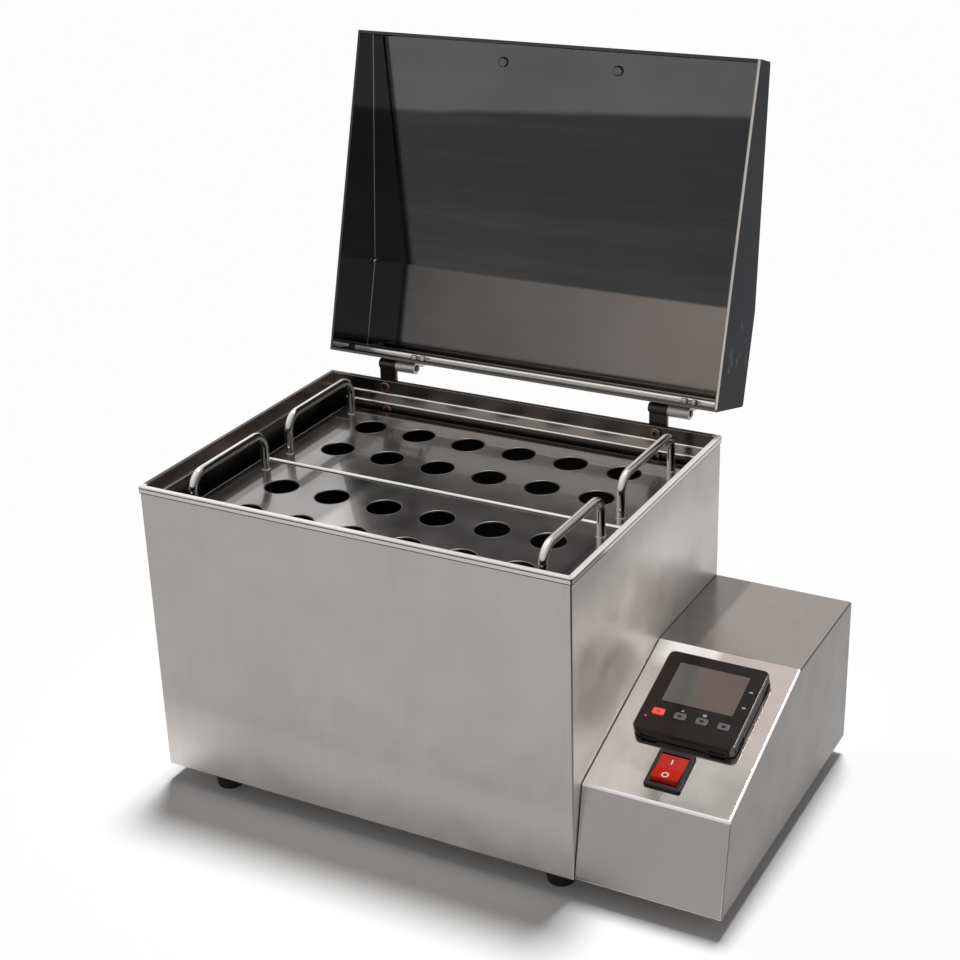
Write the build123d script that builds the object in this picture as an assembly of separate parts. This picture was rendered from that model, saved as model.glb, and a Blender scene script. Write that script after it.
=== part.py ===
from build123d import *

import math
import os

# Bench water bath: a square-edged tank on four feet, a hinged lid that stands open behind it,
# two lift-out tube racks, and a control housing on the tank's right side.
# X runs right, Y back and Z up, with Z zero on the bench. Sizes are worked out from the tank's
# centre, and the finished parts move so that X and Y are zero at the middle of the whole outline.
outline_middle_x = 51.0
outline_middle_y = 57.4

# Fasteners
hole_clearance = 0.1
m5_nut_flats = 8.0
m5_nut_height = 4.0
m4_nut_flats = 7.0
m4_nut_height = 3.2
m3_nut_flats = 5.5
m3_nut_height = 2.4
m3_radius = 1.5
m3_head_radius = 2.8
m3_head_height = 1.8
m3_short_length = 5.0
m3_long_length = 8.0

# Tank body
body_width = 330.0
body_depth = 249.0
body_height = 222.5
casing_sheet = 1.0
casing_corner = 1.2
casing_return = 28.0
base_sheet = 1.5
wrap_thickness = 0.6
tank_sheet = 0.8
tank_floor_height = 40.0

# Folded trim over the top edge of casing and tank
trim_sheet = 0.8
trim_outer_drop = 5.0
trim_inner_drop = 11.0
trim_corner = 1.5
trim_edge = 0.9

# Strip that stiffens the rear wall below the trim
backing_end_gap = 15.0
backing_height = 7.2
backing_thickness = 1.5

# Feet
foot_height = 13.5
foot_top_radius = 11.0
foot_bottom_radius = 9.5
foot_recess_radius = 5.5
foot_recess_depth = 5.0
foot_inset_left = 43.2
foot_inset_right = 16.2
foot_setback = 14.5
foot_edge = 1.5
foot_screw_radius = 2.5
foot_screw_head_radius = 4.6
foot_screw_head_height = 2.6
foot_screw_tail = 5.0

# Heater under the tank floor
heater_length = 250.0
heater_depth = 180.0
heater_thickness = 2.5
heater_corner = 6.0
clamp_margin = 4.0
clamp_corner = 8.0
clamp_thickness = 1.5
heater_stud_radius = 2.5
heater_stud_length = 9.0
heater_stud_spacing_x = 180.0
heater_stud_spacing_y = 120.0
heater_pad_clearance = 0.4
heater_clamp_clearance = 0.2
thermostat_radius = 8.0
thermostat_height = 9.5
thermostat_cap = 3.0
contact_start = 4.0
contact_length = 9.0
contact_width = 4.8
contact_thickness = 0.8
contact_drop = 5.2
board_margin = 10.0
board_gap = 0.5

# Temperature probe through the right wall
probe_y = 60.0
probe_rise = 14.0
probe_radius = 3.0
probe_reach = 60.0
probe_thread_radius = 5.0
probe_hex = 14.0
probe_hex_thickness = 5.0
probe_tail = 14.0

# Tube racks
rack_end_clearance = 12.0
rack_rear_clearance = 3.3
rack_parting = 3.0
rack_below_rim = 24.5
rack_sheet = 1.2
rack_bend = 2.0
rack_flange = 10.0
rack_rest_gap = 0.2
tube_hole_radius = 13.0
tube_pitch_x = 42.5
tube_pitch_y = 46.6
tube_row_shift = 1.75
tube_wire_spacing = 20.0
shelf_rise = 32.0
shelf_margin = 4.0
shelf_flange = 6.0
drain_hole_radius = 5.0

# Wire frames of the racks: legs below, handles above
wire_radius = 3.0
wire_end_inset = 14.5
wire_front_inset = 14.5
wire_rear_inset = 14.2
wire_bend = 12.0
handle_rise = 29.0
wire_hole_clearance = 0.05

# Lid, as it lies closed
lid_side_inset = 3.0
lid_end_inset = 1.5
lid_rear_height = 55.5
lid_front_height = 21.0
lid_flat = 70.4
lid_sheet = 1.0
lid_bend = 2.2
lid_weld = 1.0
lid_hem_height = 5.0
lid_rest_gap = 0.4
lid_open_angle = 105.8

# Lid handle on the sloping part
handle_spacing = 94.0
handle_from_front = 14.0
handle_rod_radius = 4.0
handle_height = 30.0
handle_bend = 10.0
handle_screw_radius = 2.0
handle_screw_reach = 8.0
handle_screw_head_radius = 3.8
handle_screw_head_height = 2.4

# Hinges
hinge_spacing = 228.0
hinge_shift = 2.0
hinge_pin_radius = 2.5
hinge_knuckle_radius = 4.75
hinge_axis_rise = 11.0
hinge_setback = 3.7
hinge_base_left = 8.0
hinge_base_width = 14.0
hinge_leaf_width = 16.7
hinge_side_gap = 0.3
hinge_base_plate = 3.0
hinge_base_drop = 29.0
hinge_leaf_plate = 2.0
hinge_leaf_length = 37.0
hinge_running_gap = 0.05
hinge_bolt_radius = 2.5
hinge_bolt_head_radius = 4.4
hinge_bolt_head_height = 2.2
hinge_bolt_upper = 5.2
hinge_bolt_lower = 24.0
hinge_pin_tip = 1.0
hinge_pin_head_radius = 3.6
hinge_pin_head_thickness = 1.2
leaf_screw_spacing = 7.5
leaf_screw_rise = 27.0

# Control housing
housing_width = 102.8
housing_height = 112.0
housing_flat = 108.7
slope_run = 126.5
slope_fall = 44.0
front_lean = 12.5
cover_sheet = 1.2
cover_bend = 2.5
cover_side_edge = 1.6
cover_seam_edge = 1.0
cover_flange = 10.0
window_margin = 14.0
panel_lap = 6.0
housing_stud_radius = 2.0
housing_stud_length = 7.0

# Controller on the sloping panel, placed down the slope from its upper bend
controller_size = 72.0
controller_down = 50.0
controller_corner = 5.0
bezel_thickness = 7.0
bezel_bevel = 1.4
bezel_slot_length = 11.0
bezel_slot_height = 2.4
bezel_slot_spread = 24.0
gasket_thickness = 1.0
gasket_clearance = 0.2
case_size = 67.4
case_depth = 58.0
case_edge = 3.0
case_row_spread = 22.0
case_row_width = 9.0
case_row_depth = 4.0
case_row_inset = 6.0
cutout_clearance = 0.3
display_width = 50.0
display_height = 35.0
display_up = 9.1
display_recess = 1.0
display_gap = 0.1
button_width = 8.6
button_height = 6.0
button_pitch = 15.3
button_down = 18.7
button_proud = 0.7
button_travel = 0.5
button_gap = 0.15
button_pocket = 2.8
button_corner = 1.6
button_floor_gap = 0.3
clip_length = 24.0
clip_width = 6.0
clip_height = 12.0

# Rocker switch below the controller
rocker_down = 107.5
switch_width = 25.6
switch_height = 31.5
switch_flange = 2.0
switch_corner = 2.0
switch_body_width = 22.6
switch_body_height = 29.0
switch_body_depth = 20.0
rocker_width = 18.8
rocker_radius = 12.2
rocker_side_gap = 0.2
rocker_end_gap = 0.3
rocker_pivot_depth = 3.0
rocker_rise = 0.4
rocker_angle = 12.0
rocker_pin_radius = 1.2
rocker_pin_gap = 0.05
rocker_skirt = 4.5
switch_well_depth = 15.5
switch_tabs = (-8.0, 0.0, 8.0)
switch_tab_width = 6.3
switch_tab_thickness = 0.8
switch_tab_length = 8.0

# Rear panel and mains inlet
inlet_height_above_bench = 58.0
inlet_flange_width = 50.0
inlet_flange_height = 24.0
inlet_flange_thickness = 3.0
inlet_flange_corner = 4.0
inlet_body_width = 27.4
inlet_body_height = 19.8
inlet_body_depth = 22.0
inlet_socket_width = 24.6
inlet_socket_height = 16.8
inlet_socket_depth = 16.0
inlet_clearance = 0.2
inlet_corner_share = 0.55
inlet_screw_spacing = 40.0
inlet_pin_spots = ((-7.0, -2.0), (7.0, -2.0), (0.0, 2.0))
inlet_pin_thickness = 2.0
inlet_pin_height = 4.0
inlet_pin_length = 13.0
panel_sheet = 1.2
panel_corner = 3.0
vent_slots = 6
vent_pitch = 5.0
vent_height = 2.4
vent_inset = 8.0
vent_top = 10.0

# Parts on the housing's bottom plate
relay_length = 58.0
relay_width = 45.0
relay_height = 23.0
relay_fins = 7
relay_base = 8.0
terminal_length = 52.0
terminal_width = 18.0
terminal_height = 16.0
terminal_setback = 20.0
terminal_step = 5.0
terminal_step_height = 8.0
terminal_well_depth = 5.0
terminal_ways = 5

# Places worked out from the sizes above
casing_bottom = foot_height
rim_z = foot_height + body_height
rim_x = body_width / 2
rim_y = body_depth / 2
casing_x = rim_x - trim_sheet
casing_y = rim_y - trim_sheet
casing_in_x = casing_x - casing_sheet
casing_in_y = casing_y - casing_sheet
tank_out_x = casing_in_x - wrap_thickness
tank_out_y = casing_in_y - wrap_thickness
tank_in_x = tank_out_x - tank_sheet
tank_in_y = tank_out_y - tank_sheet
trim_in_x = tank_in_x - trim_sheet
trim_in_y = tank_in_y - trim_sheet
wall_top = rim_z - trim_sheet
tank_floor = casing_bottom + tank_floor_height
heater_top = tank_floor - tank_sheet
heater_bottom = heater_top - heater_thickness
clamp_bottom = heater_bottom - clamp_thickness
base_top = casing_bottom + casing_sheet + base_sheet
probe_z = tank_floor + probe_rise
rack_top = rim_z - rack_below_rim
shelf_top = tank_floor + shelf_rise
rack_half_length = trim_in_x - rack_end_clearance
rack_front_edge = rack_parting / 2
rack_rear_edge = trim_in_y - rack_rear_clearance
wire_x = rack_half_length - wire_end_inset
wire_near = rack_front_edge + wire_front_inset
wire_far = rack_rear_edge - wire_rear_inset
handle_z = rack_top + handle_rise
lid_bottom = rim_z + lid_rest_gap
lid_half_width = rim_x - lid_side_inset
lid_rear = rim_y - lid_end_inset
lid_front = -lid_rear
hinge_y = rim_y + hinge_setback
hinge_z = rim_z + hinge_axis_rise
hinge_axis = Axis((0, hinge_y, hinge_z), (1, 0, 0))
hinge_places = (-hinge_spacing / 2 + hinge_shift, hinge_spacing / 2 + hinge_shift)
housing_left = casing_x
housing_right = housing_left + housing_width
housing_rear = casing_y
housing_top = casing_bottom + housing_height
slope_top_y = housing_rear - housing_flat
slope_bottom_y = slope_top_y - slope_run
slope_bottom_z = housing_top - slope_fall
slope_angle = math.atan2(slope_fall, slope_run)
panel_middle = housing_left + housing_width / 2
inlet_x = panel_middle


def box_between(x0, x1, y0, y1, z0, z1):
    box = Box(x1 - x0, y1 - y0, z1 - z0)
    return Pos((x0 + x1) / 2, (y0 + y1) / 2, (z0 + z1) / 2) * box


def centred_box(half_x, half_y, z0, z1):
    return box_between(-half_x, half_x, -half_y, half_y, z0, z1)


def rod_between(start, end, radius):
    # A round bar from one point to another.
    run = Vector(*end) - Vector(*start)
    return extrude(Plane(start, z_dir=run) * Circle(radius), run.length)


def hex_along(start, direction, flats, length):
    across = flats / math.sqrt(3)
    return extrude(Plane(start, z_dir=direction) * RegularPolygon(across, 6), length)


def screw(seat, outward, shank_radius, shank_length, head_radius, head_height):
    # A domed head that stands on the seat, with its shank pointing the other way.
    head = Cylinder(head_radius, head_height, align=(Align.CENTER, Align.CENTER, Align.MIN))
    head = fillet(head.edges().group_by(Axis.Z)[-1], head_height * 0.6)
    shank = Pos(0, 0, -shank_length) * Cylinder(
        shank_radius, shank_length, align=(Align.CENTER, Align.CENTER, Align.MIN)
    )
    return Plane(seat, z_dir=outward) * (head + shank)


def slope_plane(down, lift=0.0):
    # A plane on the sloping panel: local x runs right, y up the slope and z out of the panel.
    out = (0, -math.sin(slope_angle), math.cos(slope_angle))
    y = slope_top_y - down * math.cos(slope_angle) + lift * out[1]
    z = housing_top - down * math.sin(slope_angle) + lift * out[2]
    return Plane((panel_middle, y, z), x_dir=(1, 0, 0), z_dir=out)


def open_lid(shape):
    return shape.rotate(hinge_axis, -lid_open_angle)


def hinge_bolt_spots():
    # x and z of every bolt that holds a hinge base, the upper one through the trim.
    spots = []
    for hinge_x in hinge_places:
        x = sum(base_limits(hinge_x)) / 2
        spots.append((x, rim_z - hinge_bolt_upper))
        spots.append((x, rim_z - hinge_bolt_lower))
    return spots


def hinge_bolt_cutters(clearance=hole_clearance):
    cutters = []
    for x, z in hinge_bolt_spots():
        near = (x, trim_in_y - 4, z)
        far = (x, rim_y + hinge_base_plate + 4, z)
        cutters.append(rod_between(near, far, hinge_bolt_radius + clearance))
    return cutters


def probe_cutter(radius):
    return rod_between((trim_in_x - 4, probe_y, probe_z), (rim_x + 20, probe_y, probe_z), radius)


def foot_spots():
    edge = casing_y - foot_setback
    left = foot_inset_left - casing_x
    right = casing_x - foot_inset_right
    return [(x, y) for x in (left, right) for y in (-edge, edge)]


def heater_stud_spots():
    half_x = heater_stud_spacing_x / 2
    half_y = heater_stud_spacing_y / 2
    return [(x, y) for x in (-half_x, half_x) for y in (-half_y, half_y)]


def make_outer_casing():
    casing = centred_box(casing_x, casing_y, casing_bottom, wall_top)
    casing = fillet(casing.edges().filter_by(Axis.Z), casing_corner)
    casing -= centred_box(casing_in_x, casing_in_y, casing_bottom + casing_sheet, wall_top + 1)
    opening_x = casing_in_x - casing_return
    opening_y = casing_in_y - casing_return
    casing -= centred_box(opening_x, opening_y, casing_bottom - 1, casing_bottom + 5)
    for x, y in foot_spots():
        low = (x, y, casing_bottom - 1)
        high = (x, y, base_top + 1)
        casing -= rod_between(low, high, foot_screw_radius + hole_clearance)
    casing -= probe_cutter(probe_thread_radius + hole_clearance)
    for cutter in hinge_bolt_cutters():
        casing -= cutter
    return casing


def make_rim_trim():
    # A channel turned upside down over the walls, with a short outer and a deeper inner leg.
    ring = centred_box(rim_x, rim_y, rim_z - trim_inner_drop, rim_z)
    ring = fillet(ring.edges().filter_by(Axis.Z), trim_corner)
    ring -= centred_box(trim_in_x, trim_in_y, rim_z - 20, rim_z + 1)
    ring = fillet(ring.edges().group_by(Axis.Z)[-1], trim_edge)
    channel = centred_box(casing_x, casing_y, rim_z - 20, wall_top)
    channel = fillet(channel.edges().filter_by(Axis.Z), casing_corner)
    channel -= centred_box(tank_in_x, tank_in_y, rim_z - 30, rim_z + 1)
    ring -= channel
    skirt = centred_box(rim_x + 1, rim_y + 1, rim_z - 20, rim_z - trim_outer_drop)
    skirt -= centred_box(tank_in_x, tank_in_y, rim_z - 30, rim_z)
    ring -= skirt
    for cutter in hinge_bolt_cutters():
        ring -= cutter
    return ring


def make_inner_tank():
    tank = centred_box(tank_out_x, tank_out_y, heater_top, wall_top)
    tank -= centred_box(tank_in_x, tank_in_y, tank_floor, wall_top + 1)
    tank -= probe_cutter(probe_thread_radius + hole_clearance)
    for cutter in hinge_bolt_cutters():
        tank -= cutter
    return tank


def make_insulation_wrap():
    wrap = centred_box(casing_in_x, casing_in_y, clamp_bottom, wall_top)
    wrap -= centred_box(tank_out_x, tank_out_y, clamp_bottom - 1, wall_top + 1)
    wrap -= probe_cutter(probe_thread_radius + 0.5)
    for cutter in hinge_bolt_cutters(0.3):
        wrap -= cutter
    return wrap


def make_backing_strip():
    top = rim_z - trim_inner_drop
    half = rim_x - backing_end_gap
    near = tank_in_y - backing_thickness
    strip = box_between(-half, half, near, tank_in_y, top - backing_height, top)
    return fillet(strip.edges().filter_by(Axis.X).group_by(Axis.Y)[0], 0.5)


def make_base_plate():
    plate = centred_box(casing_in_x, casing_in_y, casing_bottom + casing_sheet, base_top)
    for x, y in foot_spots():
        low = (x, y, casing_bottom - 1)
        high = (x, y, base_top + 1)
        plate -= rod_between(low, high, foot_screw_radius + hole_clearance)
    return plate


def make_floor_board():
    # Insulating board that lies on the base plate under the heater.
    half_x = casing_in_x - board_margin
    half_y = casing_in_y - casing_return - 2
    return centred_box(half_x, half_y, base_top, clamp_bottom - thermostat_height - board_gap)


def make_feet():
    feet = []
    for x, y in foot_spots():
        foot = loft(
            [
                Plane((x, y, 0)) * Circle(foot_bottom_radius),
                Plane((x, y, foot_height)) * Circle(foot_top_radius),
            ]
        )
        foot = fillet(foot.edges().group_by(Axis.Z)[0], foot_edge)
        foot -= rod_between((x, y, -1), (x, y, foot_recess_depth), foot_recess_radius)
        bore = foot_screw_radius + hole_clearance
        foot -= rod_between((x, y, -1), (x, y, foot_height + 1), bore)
        feet.append(foot)
    return Compound(feet)


def make_foot_screws():
    # The head sits in the foot's recess and the nut on the base plate.
    screws = []
    for x, y in foot_spots():
        bolt = screw(
            (x, y, foot_recess_depth),
            (0, 0, -1),
            foot_screw_radius,
            base_top - foot_recess_depth + foot_screw_tail,
            foot_screw_head_radius,
            foot_screw_head_height,
        )
        bolt += hex_along((x, y, base_top), (0, 0, 1), m5_nut_flats, m5_nut_height)
        screws.append(bolt)
    return Compound(screws)


def make_heater():
    pad = centred_box(heater_length / 2, heater_depth / 2, heater_bottom, heater_top)
    pad = fillet(pad.edges().filter_by(Axis.Z), heater_corner)
    bore = heater_stud_radius + heater_pad_clearance
    for x, y in heater_stud_spots():
        pad -= rod_between((x, y, heater_bottom - 1), (x, y, heater_top + 1), bore)
    return pad


def make_heater_clamp():
    half_x = heater_length / 2 + clamp_margin
    half_y = heater_depth / 2 + clamp_margin
    plate = centred_box(half_x, half_y, clamp_bottom, heater_bottom)
    plate = fillet(plate.edges().filter_by(Axis.Z), clamp_corner)
    bore = heater_stud_radius + heater_clamp_clearance
    for x, y in heater_stud_spots():
        plate -= rod_between((x, y, clamp_bottom - 1), (x, y, heater_bottom + 1), bore)
    return plate


def make_heater_studs():
    studs = []
    for x, y in heater_stud_spots():
        low = (x, y, heater_top - heater_stud_length)
        stud = rod_between((x, y, heater_top), low, heater_stud_radius)
        stud += hex_along((x, y, clamp_bottom), (0, 0, -1), m5_nut_flats, m5_nut_height)
        studs.append(stud)
    return Compound(studs)


def make_thermostat():
    # A snap-disc thermostat that lies against the clamp plate, with two tab contacts.
    shoulder = clamp_bottom - thermostat_cap
    low = clamp_bottom - thermostat_height
    body = rod_between((0, 0, clamp_bottom), (0, 0, shoulder), thermostat_radius)
    body += rod_between((0, 0, shoulder), (0, 0, low), thermostat_radius - 1)
    half_w = contact_width / 2
    z = clamp_bottom - contact_drop
    for x in (-contact_start - contact_length, contact_start):
        body += box_between(x, x + contact_length, -half_w, half_w, z - contact_thickness, z)
    return body


def make_probe():
    # Sheath inside the tank, hexagon against the inner wall, thread through to the housing.
    tip = (tank_in_x - probe_hex_thickness - probe_reach, probe_y, probe_z)
    inner = (tank_in_x - probe_hex_thickness, probe_y, probe_z)
    wall = (tank_in_x, probe_y, probe_z)
    end = (casing_x + probe_tail, probe_y, probe_z)
    probe = rod_between(tip, inner, probe_radius)
    probe = fillet(probe.edges().group_by(Axis.X)[0], probe_radius * 0.8)
    probe += hex_along(inner, (1, 0, 0), probe_hex, probe_hex_thickness)
    probe += rod_between(wall, end, probe_thread_radius)
    return probe


def make_probe_nut():
    nut = hex_along((casing_x, probe_y, probe_z), (1, 0, 0), probe_hex, probe_hex_thickness)
    return nut - probe_cutter(probe_thread_radius)


def folded_plate(half_x, y0, y1, top, flange):
    # A plate with its four edges turned down.
    plate = box_between(-half_x, half_x, y0, y1, top - flange, top)
    plate = fillet(plate.edges().filter_by(Axis.Z), rack_bend)
    plate = fillet(plate.edges().group_by(Axis.Z)[-1], rack_bend * 0.95)
    inside = box_between(
        -half_x + rack_sheet,
        half_x - rack_sheet,
        y0 + rack_sheet,
        y1 - rack_sheet,
        top - flange - 1,
        top - rack_sheet,
    )
    inside = fillet(inside.edges().filter_by(Axis.Z), rack_bend - rack_sheet)
    return plate - inside


def tube_spots(side):
    # x and y of the tube holes of one rack; side is 1 for the rear rack, -1 for the front.
    # The columns fill the plate between the wires, in two rows about the plate's middle.
    pitches = int(2 * (wire_x - tube_wire_spacing) / tube_pitch_x)
    columns = [tube_pitch_x * (i - pitches / 2) for i in range(pitches + 1)]
    middle = (rack_front_edge + rack_rear_edge) / 2 + tube_row_shift
    rows = (middle - tube_pitch_y / 2, middle + tube_pitch_y / 2)
    return [(x, side * row) for row in rows for x in columns]


def wire_spots(side):
    return [(x, side * y) for x in (-wire_x, wire_x) for y in (wire_near, wire_far)]


def pierce(plate, side, radius, low, high):
    for x, y in tube_spots(side):
        plate -= rod_between((x, y, low), (x, y, high), radius)
    for x, y in wire_spots(side):
        plate -= rod_between((x, y, low), (x, y, high), wire_radius + wire_hole_clearance)
    return plate


def make_rack_plate(side):
    near, far = sorted((side * rack_front_edge, side * rack_rear_edge))
    plate = folded_plate(rack_half_length, near, far, rack_top, rack_flange)
    return pierce(plate, side, tube_hole_radius, rack_top - rack_flange - 1, rack_top + 1)


def make_rack_shelf(side):
    near = rack_front_edge + shelf_margin
    far = rack_rear_edge - shelf_margin
    low, high = sorted((side * near, side * far))
    half = rack_half_length - shelf_margin
    shelf = folded_plate(half, low, high, shelf_top, shelf_flange)
    return pierce(shelf, side, drain_hole_radius, shelf_top - shelf_flange - 1, shelf_top + 1)


def make_wire_frame(side, x):
    # One bent wire: two legs that stand on the tank floor, joined above the plate as a handle.
    foot = tank_floor + rack_rest_gap
    corners = [
        (x, side * wire_near, foot),
        (x, side * wire_near, handle_z),
        (x, side * wire_far, handle_z),
        (x, side * wire_far, foot),
    ]
    path = FilletPolyline(*corners, radius=wire_bend)
    return sweep(Plane(corners[0], z_dir=(0, 0, 1)) * Circle(wire_radius), path)


def lid_outline():
    # Side view of the closed lid: rear wall, flat, slope and low front wall.
    points = [
        (lid_rear, lid_bottom),
        (lid_rear, lid_bottom + lid_rear_height),
        (lid_rear - lid_flat, lid_bottom + lid_rear_height),
        (lid_front, lid_bottom + lid_front_height),
        (lid_front, lid_bottom),
    ]
    return make_face(Plane.YZ * Polyline(*points, close=True))


def lid_slope_angle():
    return math.atan2(lid_rear_height - lid_front_height, lid_rear - lid_flat - lid_front)


def lid_slope_point(from_front):
    rise = from_front * math.tan(lid_slope_angle())
    return lid_front + from_front, lid_bottom + lid_front_height + rise


def lid_slope_out():
    return (0, -math.sin(lid_slope_angle()), math.cos(lid_slope_angle()))


def make_lid_shell():
    outline = lid_outline()
    shell = extrude(outline, lid_half_width, both=True)
    bends = shell.edges().filter_by(Axis.X).sort_by(Axis.Z)[2:]
    shell = fillet(bends, lid_bend)
    core = offset(outline, -lid_sheet, kind=Kind.INTERSECTION)
    core = extrude(core, lid_half_width - lid_sheet, both=True)
    core = fillet(core.edges().filter_by(Axis.X).sort_by(Axis.Z)[2:], lid_bend - lid_sheet)
    # The side walls are welded in, with a small round seam along the roof and the end walls.
    sides = core.faces().sort_by(Axis.X)
    seams = sides[0].edges() + sides[-1].edges()
    core = fillet(seams.sort_by(Axis.Z)[2:], lid_weld)
    shell -= core
    inner_x = lid_half_width - lid_sheet
    inner_y = lid_rear - lid_sheet
    shell -= centred_box(inner_x, inner_y, lid_bottom - 1, lid_bottom + lid_hem_height / 2)
    # The hem is the wall's edge folded back inside.
    hem = centred_box(inner_x, inner_y, lid_bottom, lid_bottom + lid_hem_height)
    hem -= centred_box(inner_x - lid_sheet, inner_y - lid_sheet, lid_bottom - 1, lid_bottom + 20)
    shell += hem
    for x in (-handle_spacing / 2, handle_spacing / 2):
        shell -= lid_handle_hole(x)
    for x, z in leaf_screw_spots():
        near = (x, lid_rear - 4, z)
        far = (x, lid_rear + 4, z)
        shell -= rod_between(near, far, m3_radius + hole_clearance)
    return shell


def lid_handle_hole(x):
    y, z = lid_slope_point(handle_from_front)
    out = Vector(*lid_slope_out())
    start = Vector(x, y, z) - out * 4
    end = Vector(x, y, z) + out * 4
    return rod_between(tuple(start), tuple(end), handle_screw_radius + hole_clearance)


def make_lid_handle():
    # A bow of round bar that stands square on the slope, with a threaded hole in each foot.
    y, z = lid_slope_point(handle_from_front)
    out = Vector(*lid_slope_out())
    half = handle_spacing / 2
    left = Vector(-half, y, z)
    right = Vector(half, y, z)
    corners = [left, left + out * handle_height, right + out * handle_height, right]
    path = FilletPolyline(*corners, radius=handle_bend)
    bow = sweep(Plane(left, z_dir=out) * Circle(handle_rod_radius), path)
    for foot in (left, right):
        tip = foot + out * (handle_screw_reach + 1)
        bow -= rod_between(tuple(foot - out), tuple(tip), handle_screw_radius)
    return bow


def make_lid_handle_screws():
    y, z = lid_slope_point(handle_from_front)
    out = Vector(*lid_slope_out())
    screws = []
    for x in (-handle_spacing / 2, handle_spacing / 2):
        seat = Vector(x, y, z) - out * lid_sheet
        inward = (0, -out.Y, -out.Z)
        screws.append(
            screw(
                tuple(seat),
                inward,
                handle_screw_radius,
                handle_screw_reach + lid_sheet,
                handle_screw_head_radius,
                handle_screw_head_height,
            )
        )
    return Compound(screws)


def base_limits(hinge_x):
    start = hinge_x - hinge_base_left
    return start, start + hinge_base_width


def leaf_limits(hinge_x):
    start = base_limits(hinge_x)[1] + hinge_side_gap
    return start, start + hinge_leaf_width


def make_hinge_base(hinge_x):
    # A block with a knuckle on top, stepped at the back so that it clears the trim's outer leg.
    x0, x1 = base_limits(hinge_x)
    bottom = rim_z - hinge_base_drop
    back = rim_y + hinge_base_plate
    block = box_between(x0, x1, rim_y, back, bottom, hinge_z)
    block += box_between(x0, x1, casing_y, back, bottom, rim_z - trim_outer_drop)
    block += rod_between((x0, hinge_y, hinge_z), (x1, hinge_y, hinge_z), hinge_knuckle_radius)
    block -= box_between(x0 - 1, x1 + 1, rim_y - 3, rim_y, rim_z - trim_outer_drop, rim_z)
    left = (x0 - 1, hinge_y, hinge_z)
    block -= rod_between(left, (x1 + 1, hinge_y, hinge_z), hinge_pin_radius)
    for cutter in hinge_bolt_cutters():
        block -= cutter
    return block


def make_hinge_pins():
    # Each pin is fast in its base and points right, so that the lid lifts off sideways.
    pins = []
    for hinge_x in hinge_places:
        start = base_limits(hinge_x)[0]
        end = leaf_limits(hinge_x)[1] + hinge_pin_tip
        pin = rod_between((start, hinge_y, hinge_z), (end, hinge_y, hinge_z), hinge_pin_radius)
        pin = chamfer(pin.edges().group_by(Axis.X)[-1], 0.5)
        left = (start - hinge_pin_head_thickness, hinge_y, hinge_z)
        head = rod_between(left, (start, hinge_y, hinge_z), hinge_pin_head_radius)
        pins.append(pin + head)
    return Compound(pins)


def make_hinge_bolts():
    bolts = []
    for x, z in hinge_bolt_spots():
        inside = trim_in_y if z > rim_z - trim_inner_drop else tank_in_y
        back = rim_y + hinge_base_plate
        length = back + m5_nut_height + 1 - inside
        bolts.append(
            screw(
                (x, inside, z),
                (0, -1, 0),
                hinge_bolt_radius,
                length,
                hinge_bolt_head_radius,
                hinge_bolt_head_height,
            )
        )
    return Compound(bolts)


def make_hinge_nuts():
    nuts = []
    back = rim_y + hinge_base_plate
    for x, z in hinge_bolt_spots():
        nut = hex_along((x, back, z), (0, 1, 0), m5_nut_flats, m5_nut_height)
        nut -= rod_between((x, back - 1, z), (x, back + 9, z), hinge_bolt_radius)
        nuts.append(nut)
    return Compound(nuts)


def leaf_screw_spots():
    spots = []
    for hinge_x in hinge_places:
        x0, x1 = leaf_limits(hinge_x)
        middle = (x0 + x1) / 2
        for side in (-1, 1):
            spots.append((middle + side * leaf_screw_spacing / 2, lid_bottom + leaf_screw_rise))
    return spots


def make_hinge_leaf(hinge_x):
    # The leaf lies on the lid's rear wall and curls into a knuckle round the pin.
    x0, x1 = leaf_limits(hinge_x)
    outer = lid_rear + hinge_leaf_plate
    leaf = box_between(x0, x1, lid_rear, outer, hinge_z, lid_bottom + hinge_leaf_length)
    leaf += rod_between((x0, hinge_y, hinge_z), (x1, hinge_y, hinge_z), hinge_knuckle_radius)
    leaf += box_between(x0, x1, lid_rear, hinge_y, hinge_z, hinge_z + hinge_knuckle_radius)
    bore = hinge_pin_radius + hinge_running_gap
    leaf -= rod_between((x0 - 1, hinge_y, hinge_z), (x1 + 1, hinge_y, hinge_z), bore)
    for x, z in leaf_screw_spots():
        near = (x, lid_rear - 4, z)
        leaf -= rod_between(near, (x, outer + 4, z), m3_radius + hole_clearance)
    return leaf


def make_leaf_screws():
    # Heads inside the lid and nuts on the leaf.
    screws = []
    inside = lid_rear - lid_sheet
    outer = lid_rear + hinge_leaf_plate
    for x, z in leaf_screw_spots():
        length = outer + m3_nut_height + 1 - inside
        bolt = screw(
            (x, inside, z), (0, -1, 0), m3_radius, length, m3_head_radius, m3_head_height
        )
        bolt += hex_along((x, outer, z), (0, 1, 0), m3_nut_flats, m3_nut_height)
        screws.append(bolt)
    return Compound(screws)


def housing_outline():
    points = [
        (housing_rear, casing_bottom),
        (housing_rear, housing_top),
        (slope_top_y, housing_top),
        (slope_bottom_y, slope_bottom_z),
        (slope_bottom_y - front_lean, casing_bottom),
    ]
    return make_face(Plane.YZ * Polyline(*points, close=True))


def window_limits():
    # x and z limits of the opening in the rear wall, which the rear panel covers.
    x0 = housing_left + window_margin
    x1 = housing_right - window_margin
    return x0, x1, casing_bottom + window_margin, housing_top - window_margin


def rear_panel_spots():
    x0, x1, z0, z1 = window_limits()
    reach = panel_lap / 2
    return [(x, z) for x in (x0 - reach, x1 + reach) for z in (z0 - reach, z1 + reach)]


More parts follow.
